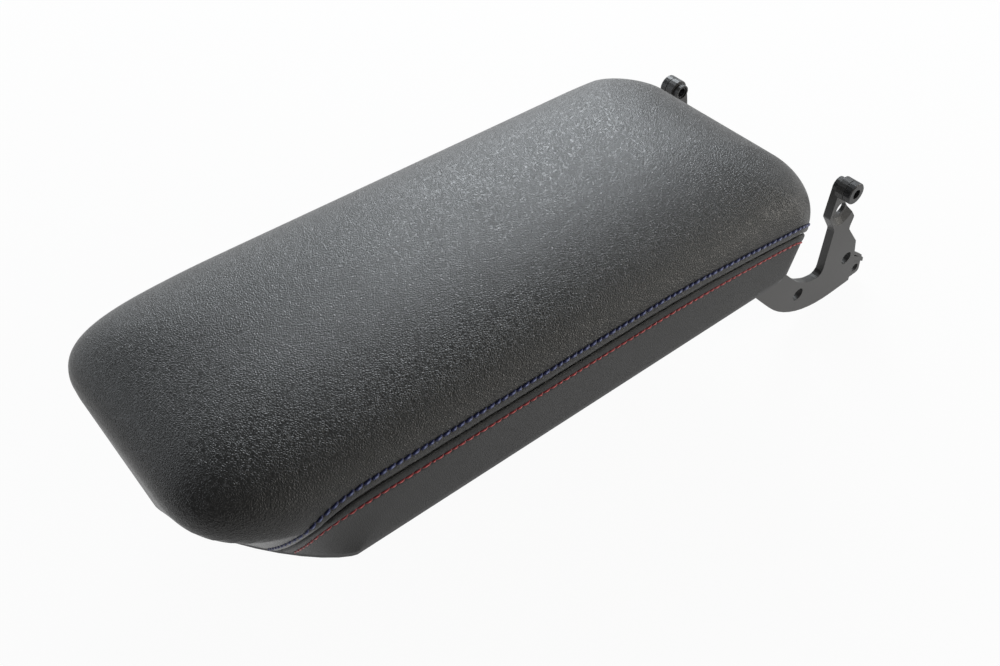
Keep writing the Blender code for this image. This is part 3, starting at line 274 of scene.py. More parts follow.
HINGE_Y = 210.8
HINGE_Z = 24.4
LOW_HALF_WIDTH = 78.1
LOW_FRONT = -183.9
LOW_REAR = 162.3
LOW_NOSE = (77.1, 56.3, 1.33)
LOW_REAR_CORNER = (14.2, 14.2, 2.0)
WIDE_HALF_WIDTH = 81.8
WIDE_FRONT = -190.5
WIDE_REAR = 181.6
WIDE_NOSE = (53.6, 100.7, 3.25)
WIDE_REAR_CORNER = (32.0, 32.0, 1.7)
WIDE_HEIGHT = 33.0
FRONT_LIFT = 11.3
FRONT_LIFT_LENGTH = 64.7
REAR_DROP = 7.9
REAR_DROP_LENGTH = 61.0
CROWN_HEIGHT = 69.2
CROWN_POWER = 2.45
NOSE_START, SIDE_START, CORNER_START, BACK_START, BACK_END = 2.0, 14.0, 19.0, 25.0, 27.0
PROFILE_STEPS = 300


def half_outline(turn, half_width, front, rear, nose, corner):
    """Plan points (x, y) of one half of an outline, from the front centre round to the rear."""
    flat = half_width - nose[0]
    back = half_width - corner[0]
    x = np.where(turn < NOSE_START, flat * turn / NOSE_START, half_width)
    y = np.full_like(turn, front)
    a = np.clip((turn - NOSE_START) / (SIDE_START - NOSE_START), 0, 1) * math.pi / 2
    in_nose = (turn >= NOSE_START) & (turn < SIDE_START)
    x = np.where(in_nose, flat + nose[0] * np.sin(a) ** (2 / nose[2]), x)
    y = np.where(in_nose, front + nose[1] * (1 - np.cos(a) ** (2 / nose[2])), y)
    along = np.clip((turn - SIDE_START) / (CORNER_START - SIDE_START), 0, 1)
    y = np.where(turn >= SIDE_START, front + nose[1] + along * (rear - corner[1] - front - nose[1]), y)
    b = np.clip((turn - CORNER_START) / (BACK_START - CORNER_START), 0, 1) * math.pi / 2
    in_corner = turn >= CORNER_START
    x = np.where(in_corner, half_width - corner[0] * (1 - np.cos(b) ** (2 / corner[2])), x)
    y = np.where(in_corner, rear - corner[1] + corner[1] * np.sin(b) ** (2 / corner[2]), y)
    c = np.clip((turn - BACK_START) / (BACK_END - BACK_START), 0, 1)
    x = np.where(turn >= BACK_START, back * (1 - c), x)
    return np.stack([x, y], axis=-1)


def shrunk(shape, inset):
    """A corner's two reaches less an inset, with its power kept."""
    return (shape[0] - inset, shape[1] - inset, shape[2])


def low_outline(turn, inset):
    """The lid's lower edge in plan, moved in by an inset."""
    return half_outline(
        turn,
        LOW_HALF_WIDTH - inset,
        LOW_FRONT + inset,
        LOW_REAR - inset,
        shrunk(LOW_NOSE, inset),
        shrunk(LOW_REAR_CORNER, inset),
    )


def wide_outline(turn, inset):
    """The lid's widest line in plan, moved in by an inset."""
    return half_outline(
        turn,
        WIDE_HALF_WIDTH - inset,
        WIDE_FRONT + inset,
        WIDE_REAR - inset,
        shrunk(WIDE_NOSE, inset),
        shrunk(WIDE_REAR_CORNER, inset),
    )


def lid_profiles(turn, inset, top_inset):
    """Profiles up the lid's surface, one for each turn, as an array of turn, step and (x, y, z)."""
    low = low_outline(turn, inset)
    wide = wide_outline(turn, inset)
    outside = wide_outline(turn, 0.0)[:, 1]
    front = np.clip((WIDE_FRONT + FRONT_LIFT_LENGTH - outside) / FRONT_LIFT_LENGTH, 0, 1)
    rear = np.clip((outside - WIDE_REAR + REAR_DROP_LENGTH) / REAR_DROP_LENGTH, 0, 1)
    widest = WIDE_HEIGHT + FRONT_LIFT * front**2 - REAR_DROP * rear**2
    spine_y = np.clip(wide[:, 1], WIDE_FRONT + WIDE_HALF_WIDTH, WIDE_REAR - WIDE_HALF_WIDTH)
    spine = np.stack([np.zeros_like(spine_y), spine_y], axis=-1)
    step = np.linspace(0, 2, 2 * PROFILE_STEPS + 1)
    wall = np.clip(step, 0, 1)
    a = np.clip(step - 1, 0, 1) * math.pi / 2
    inward = 1 - np.cos(a) ** (2 / CROWN_POWER)
    rise = np.sin(a) ** (2 / CROWN_POWER)
    plan = low[:, None] + (wide - low)[:, None] * wall[None, :, None]
    plan += (spine - wide)[:, None] * inward[None, :, None]
    height = widest[:, None] * wall[None] + (CROWN_HEIGHT - top_inset - widest)[:, None] * rise[None]
    return np.concatenate([plan, height[..., None]], axis=-1)


def profile_run(profiles):
    """Length up each profile at each of its points, from its lower edge."""
    steps = np.linalg.norm(np.diff(profiles, axis=1), axis=-1)
    return np.concatenate([np.zeros((len(profiles), 1)), np.cumsum(steps, axis=1)], axis=1)


def along_profiles(profiles, lengths):
    """Points at given lengths up each profile, from its lower edge: lengths is turn by row."""
    run = profile_run(profiles)
    points = np.empty(lengths.shape + (3,))
    for k in range(len(profiles)):
        for axis in range(3):
            points[k, :, axis] = np.interp(lengths[k], run[k], profiles[k, :, axis])
    return points


def grid_normals(points):
    """Outward unit normals of a grid of points, turn by row."""
    across = np.gradient(points, axis=0)
    up = np.gradient(points, axis=1)
    normals = np.cross(across, up)
    lengths = np.linalg.norm(normals, axis=-1, keepdims=True)
    return normals / np.maximum(lengths, 1e-9)


def place_in_frame(points):
    """Points in mm from the lid's own origin, as metres from the hinge axis."""
    return (points - np.array([0.0, HINGE_Y, HINGE_Z])) * MM


def turns(per_step):
    """Turns round half of the lid, from the front to the rear, with so many for each step."""
    return np.linspace(0, BACK_END, int(BACK_END * per_step) + 1)


def profile_lengths(profiles):
    """Total length of each profile."""
    return np.linalg.norm(np.diff(profiles, axis=1), axis=-1).sum(axis=1)


def mirrored_grid(points):
    """A grid over half of the lid, carried on round the other half, which joins it at both ends."""
    other = points[-2:0:-1] * np.array([-1.0, 1.0, 1.0])
    return np.concatenate([points, other], axis=0)


def make_piece(name, points, faces, mat):
    """A smooth shaded object from points in mm, riding on the lid."""
    mesh = bpy.data.meshes.new(name)
    mesh.from_pydata([tuple(p) for p in place_in_frame(points)], [], faces)
    mesh.validate()
    mesh.shade_smooth()
    mesh.materials.append(mat)
    piece = bpy.data.objects.new(name, mesh)
    bpy.context.scene.collection.objects.link(piece)
    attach(piece, "lid")
    return piece


def ring_faces(count, rows):
    """Faces of a closed ring of count columns by rows of points, numbered column by column."""
    faces = []
    for k in range(count):
        n = (k + 1) % count
        for r in range(rows - 1):
            faces.append((k * rows + r, n * rows + r, n * rows + r + 1, k * rows + r + 1))
    return faces


def crown_faces(half, count, rows):
    """Faces across the strip that the last row leaves along the lid's middle, with a cap at each end."""
    cap = half // 6
    corners = [range(-cap, cap + 1), range(half - 1 - cap, half + cap)]
    corners += [(k, k + 1, count - k - 1, count - k) for k in range(cap, half - 1 - cap)]
    return [tuple(c % count * rows + rows - 1 for c in face) for face in corners]


CROWN_END = 0.955
FOAM_CELL = 0.9
FOAM_CELL_DEPTH = 0.2
FOAM_DULL = 0.95
# The darker grey is painted shade in the cells' pits.
FOAM_PIT_PAINTED_SHADE = (0.16, 0.16, 0.15, 1.0)
FOAM_LIGHT = (0.36, 0.36, 0.34, 1.0)


def foam_material():
    """Grey polyurethane foam with a fine open skin."""
    mat = bpy.data.materials.new("foam_finish")
    mat.use_nodes = True
    nodes = mat.node_tree.nodes
    shader = nodes["Principled BSDF"]
    shader.inputs["Roughness"].default_value = FOAM_DULL
    place = nodes.new("ShaderNodeTexCoord")
    cells = nodes.new("ShaderNodeTexVoronoi")
    cells.inputs["Scale"].default_value = PER_METRE / FOAM_CELL
    # The colour darkens into each cell's pit: painted shade.
    tint = nodes.new("ShaderNodeValToRGB")
    tint.color_ramp.elements[0].color = FOAM_PIT_PAINTED_SHADE
    tint.color_ramp.elements[1].color = FOAM_LIGHT
    relief = nodes.new("ShaderNodeBump")
    relief.inputs["Distance"].default_value = FOAM_CELL_DEPTH * MM
    join_nodes(
        mat.node_tree,
        (
            ((place, "Object"), (cells, "Vector")),
            ((cells, "Distance"), (tint, "Fac")),
            ((cells, "Distance"), (relief, "Height")),
            ((tint, "Color"), (shader, "Base Color")),
            ((relief, "Normal"), (shader, "Normal")),
        ),
    )
    return mat


SEAM_HEIGHT = 39.4
SEAM_FIRST = 9.1
SEAM_FRONT_POWER = 2.9
SEAM_FRONT_FOOT = 0.87
SEAM_REAR_SAG = 7.0
SEAM_SAG_START = 45.0
SEAM_SAG_END = 150.0
SEAM_SAG_POWER = 1.6
SEAM_REAR_TURN = 1.5
SEAM_REAR_POWER = 1.3


def seam_heights(turn):
    """Height of the seam at each turn: level along the side, sunk to the lower edge at both ends."""
    y = wide_outline(turn, 0.0)[:, 1]
    sag = np.clip((y - SEAM_SAG_START) / (SEAM_SAG_END - SEAM_SAG_START), 0, 1)
    height = SEAM_HEIGHT - SEAM_REAR_SAG * sag**SEAM_SAG_POWER
    rise = np.clip((turn - SEAM_FIRST) / (SIDE_START - SEAM_FIRST), 0, 1)
    fall = np.clip((turn - CORNER_START) / (BACK_START - CORNER_START), 0, 1)
    height = height * (1 - (1 - rise) ** SEAM_FRONT_POWER) ** SEAM_FRONT_FOOT
    height = height * (1 - fall**SEAM_REAR_TURN) ** SEAM_REAR_POWER
    return np.where(turn >= BACK_START, 0.0, height)


def lengths_to_heights(profiles, heights):
    """How far up each profile a height is reached."""
    run = profile_run(profiles)
    return np.array([np.interp(h, p[:, 2], r) for h, p, r in zip(heights, profiles, run)])


SEAM_TURNS = np.linspace(SEAM_FIRST, BACK_START, 700)
seam_profiles = lid_profiles(SEAM_TURNS, 0.0, 0.0)
seam_run = lengths_to_heights(seam_profiles, seam_heights(SEAM_TURNS))
seam_line = along_profiles(seam_profiles, seam_run[:, None])[:, 0]
seam_tree = KDTree(len(seam_line))
for number, point in enumerate(seam_line):
    seam_tree.insert(point, number)
seam_tree.balance()


def seam_distance(points):
    """Distance in mm from each point of a grid to the seam on its own side."""
    flat = points.reshape(-1, 3)
    found = [seam_tree.find((abs(p[0]), p[1], p[2]))[2] for p in flat]
    return np.array(found).reshape(points.shape[:-1])


FOAM_INSET = 1.55
FOAM_ROWS = 60
FOAM_CHANNEL = 1.9
FOAM_CHANNEL_WIDTH = 2.6
FOAM_LOW_SHARE = 0.015
FOAM_WALL = 2.8
foam_turns = turns(6)
foam_profiles = lid_profiles(foam_turns, FOAM_INSET, FOAM_INSET)
foam_share = np.linspace(FOAM_LOW_SHARE, CROWN_END, FOAM_ROWS)
foam_grid = along_profiles(foam_profiles, profile_lengths(foam_profiles)[:, None] * foam_share[None])
foam_depth = FOAM_CHANNEL * np.exp(-((seam_distance(foam_grid) / FOAM_CHANNEL_WIDTH) ** 2))
foam_grid = mirrored_grid(foam_grid - grid_normals(foam_grid) * foam_depth[..., None])
foam_columns, foam_rows = foam_grid.shape[:2]
foam_faces = ring_faces(foam_columns, foam_rows)
foam_faces += crown_faces(len(foam_turns), foam_columns, foam_rows)
foam_piece = make_piece("moulded_foam", foam_grid.reshape(-1, 3), foam_faces, foam_material())
foam_wall = foam_piece.modifiers.new("foam_wall", "SOLIDIFY")
foam_wall.thickness = FOAM_WALL * MM
foam_wall.offset = -1.0
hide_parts("foam_pad")


# Leather covers
# Black embossed leather, 1 mm thick: a long top panel with pebble grain, and a smoother panel on
# each long side. They are sewn face to face, folded open, top-stitched, glued and hemmed underneath.

LEATHER = 1.0
HEM = 9.0
SEAM_SLIT = 0.5
SEAM_DEPTH = 1.35
SEAM_LIP = 0.75
SEAM_PILLOW = 0.18
PILLOW_SHIFT = 0.3
PILLOW_WIDTH = 0.33
BLUE_OFFSET = 4.9
RED_OFFSET = 5.4
STITCH_DIP = 0.3
STITCH_DIP_WIDTH = 0.7
EDGE_ROUND = 0.7
EDGE_TUCK = 0.3
STITCH = 4.0
HOLE_DIP = 0.35
HOLE_WIDTH = 0.9
ROW_END = 1.2
SEAM_OVERRUN = 12
# Rows of points beside the seam, in mm from its slit, closest at the fold and at the stitches.
NEAR_SEAM = np.array(
    [0, 0.12, 0.27, 0.45, 0.7, 1, 1.4, 2, 2.8, 3.6, 4.1, 4.5, 4.9, 5.3, 5.8, 6.6, 8, 10]
)
FIELD_ROWS = 46
SIDE_ROWS = 16
SIDE_ROOM = 1.4

PANEL_STAGES = (0.0, NOSE_START, SIDE_START, CORNER_START, BACK_START, BACK_END)
PANEL_COLUMNS = (7, 165, 231, 73, 7)
SMOOTH_ROWS = 160

panel_stages = zip(PANEL_STAGES, PANEL_STAGES[1:], PANEL_COLUMNS)
panel_turns = np.unique(np.concatenate([np.linspace(*stage) for stage in panel_stages]))
panel_profiles = lid_profiles(panel_turns, 0.0, 0.0)
panel_total = profile_lengths(panel_profiles)
panel_seam = lengths_to_heights(panel_profiles, seam_heights(panel_turns))
panel_sewn = (panel_turns > SEAM_FIRST) & (panel_turns < BACK_START)
smooth_share = np.linspace(0, CROWN_END, SMOOTH_ROWS)
smooth_grid = along_profiles(panel_profiles, panel_total[:, None] * smooth_share[None])
smooth_columns, smooth_rows = smooth_grid.shape[:2]
smooth_faces = ring_faces(smooth_columns, smooth_rows)[: (smooth_columns - 1) * (smooth_rows - 1)]
smooth_skin = BVHTree.FromPolygons([Vector(p) for p in smooth_grid.reshape(-1, 3)], smooth_faces)


def needle_holes(offset):
    """Needle holes (spot, normal) of a row at an offset from the seam: above it if that is positive."""
    route = [Vector(p) for p in seam_line]
    before = (route[0] - route[3]).normalized()
    after = (route[-1] - route[-4]).normalized()
    route = [route[0] + before * k for k in range(SEAM_OVERRUN, 0, -1)] + route
    route += [route[-1] + after * k for k in range(1, SEAM_OVERRUN + 1)]
    holes = []
    run = STITCH
    last = None
    for k in range(1, len(route) - 1):
        outward = smooth_skin.find_nearest(route[k])[1]
        away = outward.cross(route[k + 1] - route[k - 1]).normalized()
        spot, normal = smooth_skin.find_nearest(route[k] + away * offset)[:2]
        if spot.z < ROW_END:
            continue
        run += (spot - last).length if last else 0.0
        if run >= STITCH:
            holes.append((spot, normal))
            run -= STITCH
        last = spot
    return holes


blue_holes = needle_holes(BLUE_OFFSET)
red_holes = needle_holes(-RED_OFFSET)


def seam_relief(points, stitch_offset, holes):
    """How far the leather lies below its smooth surface near the seam and round the needle holes."""
    distance = seam_distance(points)
    lip = SEAM_DEPTH * np.exp(-((distance / SEAM_LIP) ** 2))
    middle = stitch_offset / 2 + PILLOW_SHIFT
    pillow = SEAM_PILLOW * np.exp(-(((distance - middle) / (stitch_offset * PILLOW_WIDTH)) ** 2))
    dip = STITCH_DIP * np.exp(-(((distance - stitch_offset) / STITCH_DIP_WIDTH) ** 2))
    hole_tree = KDTree(len(holes))
    for number, hole in enumerate(holes):
        hole_tree.insert(hole[0], number)
    hole_tree.balance()
    reach = np.array([hole_tree.find(p)[2] for p in points.reshape(-1, 3)]).reshape(distance.shape)
    holed = HOLE_DIP * np.exp(-((reach / HOLE_WIDTH) ** 2))
    return lip - pillow + dip + holed


def under_rows(turn, points, normals, sewn):
    """Rows under a panel's lower edge: a hem under the lid, or the allowance inside the seam."""
    rows = []
    for inset in (HEM, HEM / 2, EDGE_ROUND, EDGE_ROUND * EDGE_TUCK):
        height = 0.0 if inset >= EDGE_ROUND else EDGE_ROUND * EDGE_TUCK
        plan = low_outline(turn, inset)
        hem = np.concatenate([plan, np.full((len(turn), 1), height)], axis=-1)
        depth = LEATHER * inset / HEM
        allowance = points[:, 0] - normals[:, 0] * depth
        rows.append(np.where(sewn[:, None], allowance, hem))
    return np.stack(rows, axis=1)


DRIFT = 2.2
PEBBLE_PULL = 0.9
PEBBLE_DOME = 0.32
FINE_GRAIN = 0.45
FINE_SHARE = 0.35
HIDE_WAVE = 60.0
# Share of the colour left in the pebbles' valleys: painted shade.
VALLEY_PAINTED_SHADE = 0.6
GLOSS_DRIFT = 0.05


def leather(name, colour, shine, roughness, grain, depth, crease):
    """Embossed leather: grain is the pebble size in mm, depth and crease its relief in mm."""
    mat = bpy.data.materials.new(name)
    mat.use_nodes = True
    nodes = mat.node_tree.nodes
    shader = nodes["Principled BSDF"]
    shader.inputs["Specular IOR Level"].default_value = shine
    place = nodes.new("ShaderNodeTexCoord")
    drift = nodes.new("ShaderNodeTexNoise")
    drift.inputs["Scale"].default_value = PER_METRE / DRIFT
    drift.inputs["Detail"].default_value = 2.0
    pull = nodes.new("ShaderNodeVectorMath")
    pull.operation = "MULTIPLY_ADD"
    pull.inputs[1].default_value = (grain * MM * PEBBLE_PULL,) * 3
    pebbles = nodes.new("ShaderNodeTexVoronoi")
    pebbles.feature = "DISTANCE_TO_EDGE"
    pebbles.inputs["Scale"].default_value = PER_METRE / grain
    dome = nodes.new("ShaderNodeMapRange")
    dome.interpolation_type = "SMOOTHSTEP"
    dome.inputs["From Max"].default_value = PEBBLE_DOME
    fine = nodes.new("ShaderNodeTexNoise")
    fine.inputs["Scale"].default_value = PER_METRE / FINE_GRAIN
    fine.inputs["Detail"].default_value = 2.0
    sum_relief = nodes.new("ShaderNodeMath")
    sum_relief.operation = "MULTIPLY_ADD"
    sum_relief.inputs[1].default_value = FINE_SHARE
    relief = nodes.new("ShaderNodeBump")
    relief.inputs["Strength"].default_value = 1.0
    relief.inputs["Distance"].default_value = depth * MM
    hide = nodes.new("ShaderNodeTexNoise")
    hide.inputs["Scale"].default_value = PER_METRE / HIDE_WAVE
    hide.inputs["Detail"].default_value = 3.0
    waves = nodes.new("ShaderNodeBump")
    waves.inputs["Strength"].default_value = 1.0
    waves.inputs["Distance"].default_value = crease * MM
    gloss = nodes.new("ShaderNodeMapRange")
    gloss.inputs["To Min"].default_value = roughness - GLOSS_DRIFT
    gloss.inputs["To Max"].default_value = roughness + GLOSS_DRIFT
    # The colour darkens from each pebble's dome into the valleys between them: painted shade.
    tint = nodes.new("ShaderNodeMix")
    tint.data_type = "RGBA"
    tint.inputs["A"].default_value = (*(c * VALLEY_PAINTED_SHADE for c in colour), 1.0)
    tint.inputs["B"].default_value = (*colour, 1.0)
    join_nodes(
        mat.node_tree,
        (
            ((place, "Object"), (drift, "Vector")),
            ((drift, "Color"), (pull, 0)),
            ((place, "Object"), (pull, 2)),
            ((pull, "Vector"), (pebbles, "Vector")),
            ((pebbles, "Distance"), (dome, "Value")),
            ((place, "Object"), (fine, "Vector")),
            ((fine, "Fac"), (sum_relief, 0)),
            ((dome, "Result"), (sum_relief, 2)),
            ((place, "Object"), (hide, "Vector")),
            ((hide, "Fac"), (waves, "Height")),
            ((waves, "Normal"), (relief, "Normal")),
            ((sum_relief, "Value"), (relief, "Height")),
            ((hide, "Fac"), (gloss, "Value")),
            ((dome, "Result"), (tint, "Factor")),
            ((tint, "Result"), (shader, "Base Color")),
            ((gloss, "Result"), (shader, "Roughness")),
            ((relief, "Normal"), (shader, "Normal")),
        ),
    )
    return mat


TOP_BLACK = (0.016, 0.0158, 0.0153)
SIDE_BLACK = (0.028, 0.028, 0.0282)
TOP_LEATHER = leather(
    "top_leather_finish", TOP_BLACK, shine=0.5, roughness=0.39, grain=1.1, depth=0.15, crease=0.22
)
SIDE_LEATHER = leather(
    "side_leather_finish", SIDE_BLACK, shine=0.25, roughness=0.5, grain=0.95, depth=0.16, crease=0.2
)


def skin_thickness(piece):
    """Gives a leather sheet its thickness, on the foam side."""
    skin = piece.modifiers.new("leather_thickness", "SOLIDIFY")
    skin.thickness = LEATHER * MM
    skin.offset = -1.0


top_start = np.where(panel_sewn, panel_seam + SEAM_SLIT, EDGE_ROUND)
top_near = top_start[:, None] + NEAR_SEAM[None]
field_share = np.linspace(0, 1, FIELD_ROWS + 1)[1:]
top_last = panel_total * CROWN_END
top_field = top_near[:, -1:] + (top_last[:, None] - top_near[:, -1:]) * field_share[None]
top_grid = along_profiles(panel_profiles, np.concatenate([top_near, top_field], axis=1))
top_normals = grid_normals(top_grid)
top_relief = seam_relief(top_grid, BLUE_OFFSET, blue_holes)
top_grid = top_grid - top_normals * top_relief[..., None]
top_under = under_rows(panel_turns, top_grid, top_normals, panel_sewn)
top_grid = mirrored_grid(np.concatenate([top_under, top_grid], axis=1))
top_columns, top_rows = top_grid.shape[:2]
top_faces = ring_faces(top_columns, top_rows)
top_faces += crown_faces(len(panel_turns), top_columns, top_rows)
top_panel = make_piece("top_leather", top_grid.reshape(-1, 3), top_faces, TOP_LEATHER)
skin_thickness(top_panel)
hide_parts("top_cover")

side_turns = panel_turns[panel_sewn]
side_profiles = panel_profiles[panel_sewn]
side_last = panel_seam[panel_sewn] - SEAM_SLIT
side_first = np.minimum(EDGE_ROUND, side_last / 2)
near_share = np.minimum(1.0, (side_last - side_first) / (NEAR_SEAM[-1] * SIDE_ROOM))
side_near = (side_last[:, None] - NEAR_SEAM[None] * near_share[:, None])[:, ::-1]
low_share = np.linspace(0, 1, SIDE_ROWS + 1)[:-1]
side_low = side_first[:, None] + (side_near[:, :1] - side_first[:, None]) * low_share[None]
side_grid = along_profiles(side_profiles, np.concatenate([side_low, side_near], axis=1))
side_normals = grid_normals(side_grid)
side_relief = seam_relief(side_grid, RED_OFFSET, red_holes)
side_grid = side_grid - side_normals * side_relief[..., None]
unsewn = np.zeros(len(side_turns), dtype=bool)
side_grid = np.concatenate([under_rows(side_turns, side_grid, side_normals, unsewn), side_grid], axis=1)
side_columns, side_rows = side_grid.shape[:2]
for side, sign in (("right", 1.0), ("left", -1.0)):
    faces = []
    for k in range(side_columns - 1):
        for r in range(side_rows - 1):
            a = k * side_rows + r
            b = a + side_rows
            faces.append((a, b, b + 1, a + 1) if sign > 0 else (a, a + 1, b + 1, b))
    points = side_grid.reshape(-1, 3) * np.array([sign, 1.0, 1.0])
    panel = make_piece("side_leather_" + side, points, faces, SIDE_LEATHER)
    skin_thickness(panel)
    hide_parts("side_cover_" + side)


# Top stitching
# Bonded polyester thread, blue on the top panel and red on the side panel, in slanted lock stitches
# of 4 mm. Each stitch rises from one needle hole, lies along the leather and dips into the next.

STITCH_COVER = 0.93
THREAD_SIDES = 10
THREAD_STEPS = 12
THREAD_PROUD = 0.5
THREAD_DIVE = 1.1
THREAD_TAPER = 0.3
# How fast the painted highlight on a stitch fades towards its ends.
PAINTED_HIGHLIGHT_FALLOFF = 2.2
THREAD_PLY = 0.4
PLY_SHARE = 0.3
PLY_DEPTH = 0.08
THREAD_DULL = 0.45
# Where the ramp from the thread's own colour to its painted highlight begins and ends.
PAINTED_HIGHLIGHT_FROM, PAINTED_HIGHLIGHT_FULL = 0.45, 0.95
BLUE_THICK, BLUE_SLANT = 0.72, 0.35
# Each thread's dark colour is its own colour, and its light colour is a painted highlight.
BLUE_DARK, BLUE_PAINTED_HIGHLIGHT = (0.009, 0.014, 0.075), (0.16, 0.19, 0.37)
RED_THICK, RED_SLANT = 0.52, 0.15
RED_DARK, RED_PAINTED_HIGHLIGHT = (0.23, 0.011, 0.015), (0.68, 0.13, 0.12)


def thread_material(name, dark, painted_highlight_colour):
    """Bonded thread in its own deep colour, with a painted highlight along the top of each stitch and a
    ply texture.
    """
    mat = bpy.data.materials.new(name)
    mat.use_nodes = True
    nodes = mat.node_tree.nodes
    shader = nodes["Principled BSDF"]
    shader.inputs["Roughness"].default_value = THREAD_DULL
    place = nodes.new("ShaderNodeTexCoord")
    plies = nodes.new("ShaderNodeTexNoise")
    plies.inputs["Scale"].default_value = PER_METRE / THREAD_PLY
    plies.inputs["Detail"].default_value = 3.0
    # The mask that sew() stores on the points says where the painted highlight lies on each stitch.
    painted_highlight_mask = nodes.new("ShaderNodeAttribute")
    painted_highlight_mask.attribute_name = "painted_highlight_mask"
    # The ply texture plus the painted highlight mask sets the tint.
    ply_and_painted_highlight = nodes.new("ShaderNodeMath")
    ply_and_painted_highlight.operation = "MULTIPLY_ADD"
    ply_and_painted_highlight.inputs[1].default_value = PLY_SHARE
    tint = nodes.new("ShaderNodeValToRGB")
    tint.color_ramp.elements[0].position = PAINTED_HIGHLIGHT_FROM
    tint.color_ramp.elements[0].color = (*dark, 1.0)
    tint.color_ramp.elements[1].position = PAINTED_HIGHLIGHT_FULL
    tint.color_ramp.elements[1].color = (*painted_highlight_colour, 1.0)
    relief = nodes.new("ShaderNodeBump")
    relief.inputs["Distance"].default_value = PLY_DEPTH * MM
    join_nodes(
        mat.node_tree,
        (
            ((place, "Object"), (plies, "Vector")),
            ((plies, "Fac"), (ply_and_painted_highlight, 0)),
            ((painted_highlight_mask, "Fac"), (ply_and_painted_highlight, 2)),
            ((ply_and_painted_highlight, "Value"), (tint, "Fac")),
            ((plies, "Fac"), (relief, "Height")),
            ((tint, "Color"), (shader, "Base Color")),
            ((relief, "Normal"), (shader, "Normal")),
        ),
    )
    return mat


def sew(name, holes, sign, radius, slant, mat):
    """One row of stitches as a single piece, a bent thread for each pair of needle holes."""
    verts, faces, painted_highlight_weights = [], [], []
    for (start, start_normal), (end, end_normal) in zip(holes, holes[1:]):
        along = (end - start).normalized()
        up = (start_normal + end_normal).normalized()
        across = up.cross(along).normalized()
        centre = (start + end) / 2
        half = (end - start).length * STITCH_COVER / 2
        base = len(verts)
        for k in range(THREAD_STEPS + 1):
            t = 2 * k / THREAD_STEPS - 1
            rise = radius * (THREAD_PROUD - THREAD_DIVE * t**4) - STITCH_DIP
            spot = centre + along * half * t + across * slant * t + up * rise
            girth = radius * (1 - THREAD_TAPER * t**4)
            for j in range(THREAD_SIDES):
                a = 2 * math.pi * j / THREAD_SIDES
                p = spot + (across * math.cos(a) + up * math.sin(a)) * girth
                verts.append((p.x * sign, p.y, p.z))
                # Painted highlight: full on the top of each stitch's middle, fading to none on its sides
                # and ends.
                painted_highlight_weights.append(max(math.sin(a), 0.0) ** 4 * max(1 - t * t * PAINTED_HIGHLIGHT_FALLOFF, 0.0))
        for k in range(THREAD_STEPS):
            for j in range(THREAD_SIDES):
                n = (j + 1) % THREAD_SIDES
                ring = (base + k * THREAD_SIDES + j, base + k * THREAD_SIDES + n)
                faces.append((ring[0], ring[1], ring[1] + THREAD_SIDES, ring[0] + THREAD_SIDES))
        faces.append(tuple(base + j for j in reversed(range(THREAD_SIDES))))
        faces.append(tuple(base + THREAD_STEPS * THREAD_SIDES + j for j in range(THREAD_SIDES)))
    row = make_piece(name, np.array(verts), faces, mat)
    # The painted highlight mask is stored on the row's points.
    row.data.attributes.new("painted_highlight_mask", "FLOAT", "POINT").data.foreach_set("value", painted_highlight_weights)
    shape = bmesh.new()
    shape.from_mesh(row.data)
    bmesh.ops.recalc_face_normals(shape, faces=shape.faces)
    shape.to_mesh(row.data)
    shape.free()


BLUE_THREAD = thread_material("blue_thread_finish", BLUE_DARK, BLUE_PAINTED_HIGHLIGHT)
RED_THREAD = thread_material("red_thread_finish", RED_DARK, RED_PAINTED_HIGHLIGHT)
for side, sign in (("right", 1.0), ("left", -1.0)):
    sew("blue_stitches_" + side, blue_holes, sign, BLUE_THICK, BLUE_SLANT, BLUE_THREAD)
    sew("red_stitches_" + side, red_holes, sign, RED_THICK, RED_SLANT, RED_THREAD)


# Liner, its screws and bumpers
# A moulded panel with a fine texture closes the lid underneath. Six pan head screws hold it to the
# carrier, and four rubber bumpers are pulled through it by their barbed stems.

LINER_BLACK = (0.018, 0.018, 0.019)
BUMPER_BLACK = (0.012, 0.012, 0.012)
ZINC_DARK = (0.38, 0.38, 0.37, 1.0)
ZINC_LIGHT = (0.62, 0.62, 0.6, 1.0)
ZINC_CLOUD = 1.5


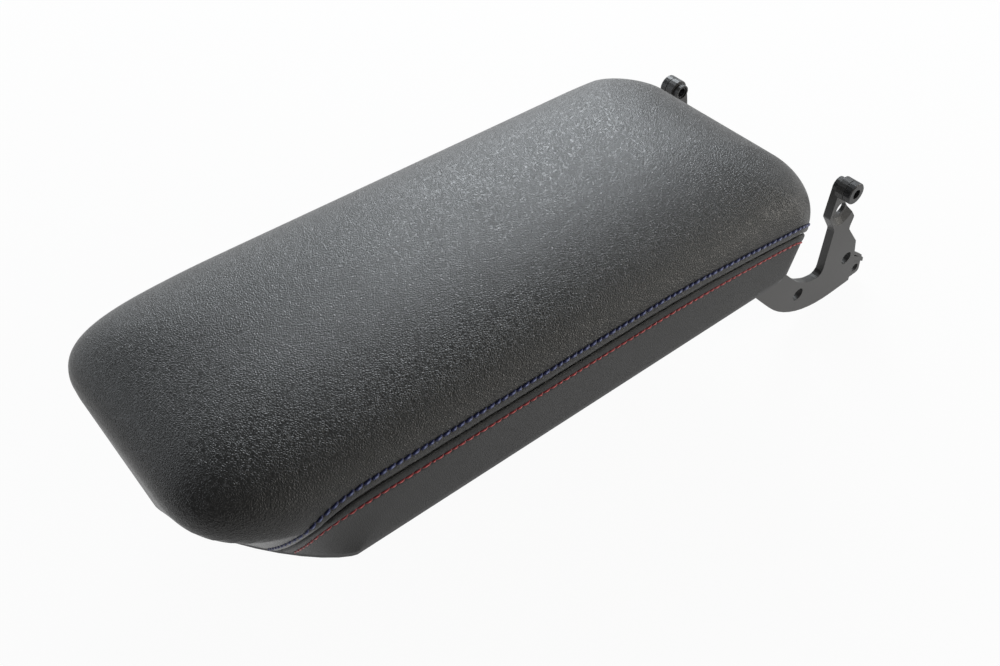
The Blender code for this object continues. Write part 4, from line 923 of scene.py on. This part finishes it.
def zinc_plate(name, smooth, dull):
    """Bright zinc plate, cloudy in tint and in gloss."""
    mat = bpy.data.materials.new(name)
    mat.use_nodes = True
    nodes = mat.node_tree.nodes
    shader = nodes["Principled BSDF"]
    shader.inputs["Metallic"].default_value = 1.0
    place = nodes.new("ShaderNodeTexCoord")
    cloud = nodes.new("ShaderNodeTexNoise")
    cloud.inputs["Scale"].default_value = PER_METRE / ZINC_CLOUD
    tint = nodes.new("ShaderNodeValToRGB")
    tint.color_ramp.elements[0].color = ZINC_DARK
    tint.color_ramp.elements[1].color = ZINC_LIGHT
    gloss = nodes.new("ShaderNodeMapRange")
    gloss.inputs["To Min"].default_value = smooth
    gloss.inputs["To Max"].default_value = dull
    join_nodes(
        mat.node_tree,
        (
            ((place, "Object"), (cloud, "Vector")),
            ((cloud, "Fac"), (tint, "Fac")),
            ((cloud, "Fac"), (gloss, "Value")),
            ((tint, "Color"), (shader, "Base Color")),
            ((gloss, "Result"), (shader, "Roughness")),
        ),
    )
    return mat


LINER_PLASTIC = moulded_plastic("liner_finish", LINER_BLACK, roughness=0.5, texture=0.6, depth=0.06)
ZINC = zinc_plate("zinc_finish", smooth=0.25, dull=0.45)
BUMPER_RUBBER = moulded_plastic("bumper_finish", BUMPER_BLACK, roughness=0.78, texture=0.3, depth=0.03)
finish_node("liner_panel", LINER_PLASTIC)
for number in range(1, 7):
    finish_node("liner_screw_%d" % number, ZINC)
for number in range(1, 5):
    finish_node("bumper_%d" % number, BUMPER_RUBBER)


# Hinge arms, bushes and arm screws
# Each gooseneck arm is one moulding in glass-filled nylon, screwed by its flange inside the lid.
# A bush is pressed into each knuckle, and the console's hinge pin turns in it.

ARM_BLACK = (0.036, 0.035, 0.0345)
BUSH_BLACK = (0.015, 0.015, 0.016)
ARM_NYLON = moulded_plastic("arm_finish", ARM_BLACK, roughness=0.45, texture=0.5, depth=0.04)
BUSH_NYLON = moulded_plastic("bush_finish", BUSH_BLACK, roughness=0.4, texture=0.4, depth=0.02)
for side in ("right", "left"):
    finish_node("hinge_arm_" + side, ARM_NYLON)
    finish_node("hinge_bush_" + side, BUSH_NYLON)
    for number in (1, 2, 3):
        finish_node("arm_screw_%s_%d" % (side, number), ZINC)


# Latch
# A moulded paddle with a hook, on a steel pin between the liner's ears, held shut by a torsion
# spring round the pin. It is pulled up from below the lid's front edge.

LATCH_BLACK = (0.02, 0.02, 0.021)
LATCH_NYLON = moulded_plastic("latch_finish", LATCH_BLACK, roughness=0.45, texture=0.5, depth=0.04)
finish_node("latch_lever", LATCH_NYLON)
finish_node("latch_pin", ZINC)
finish_node("latch_spring", ZINC)
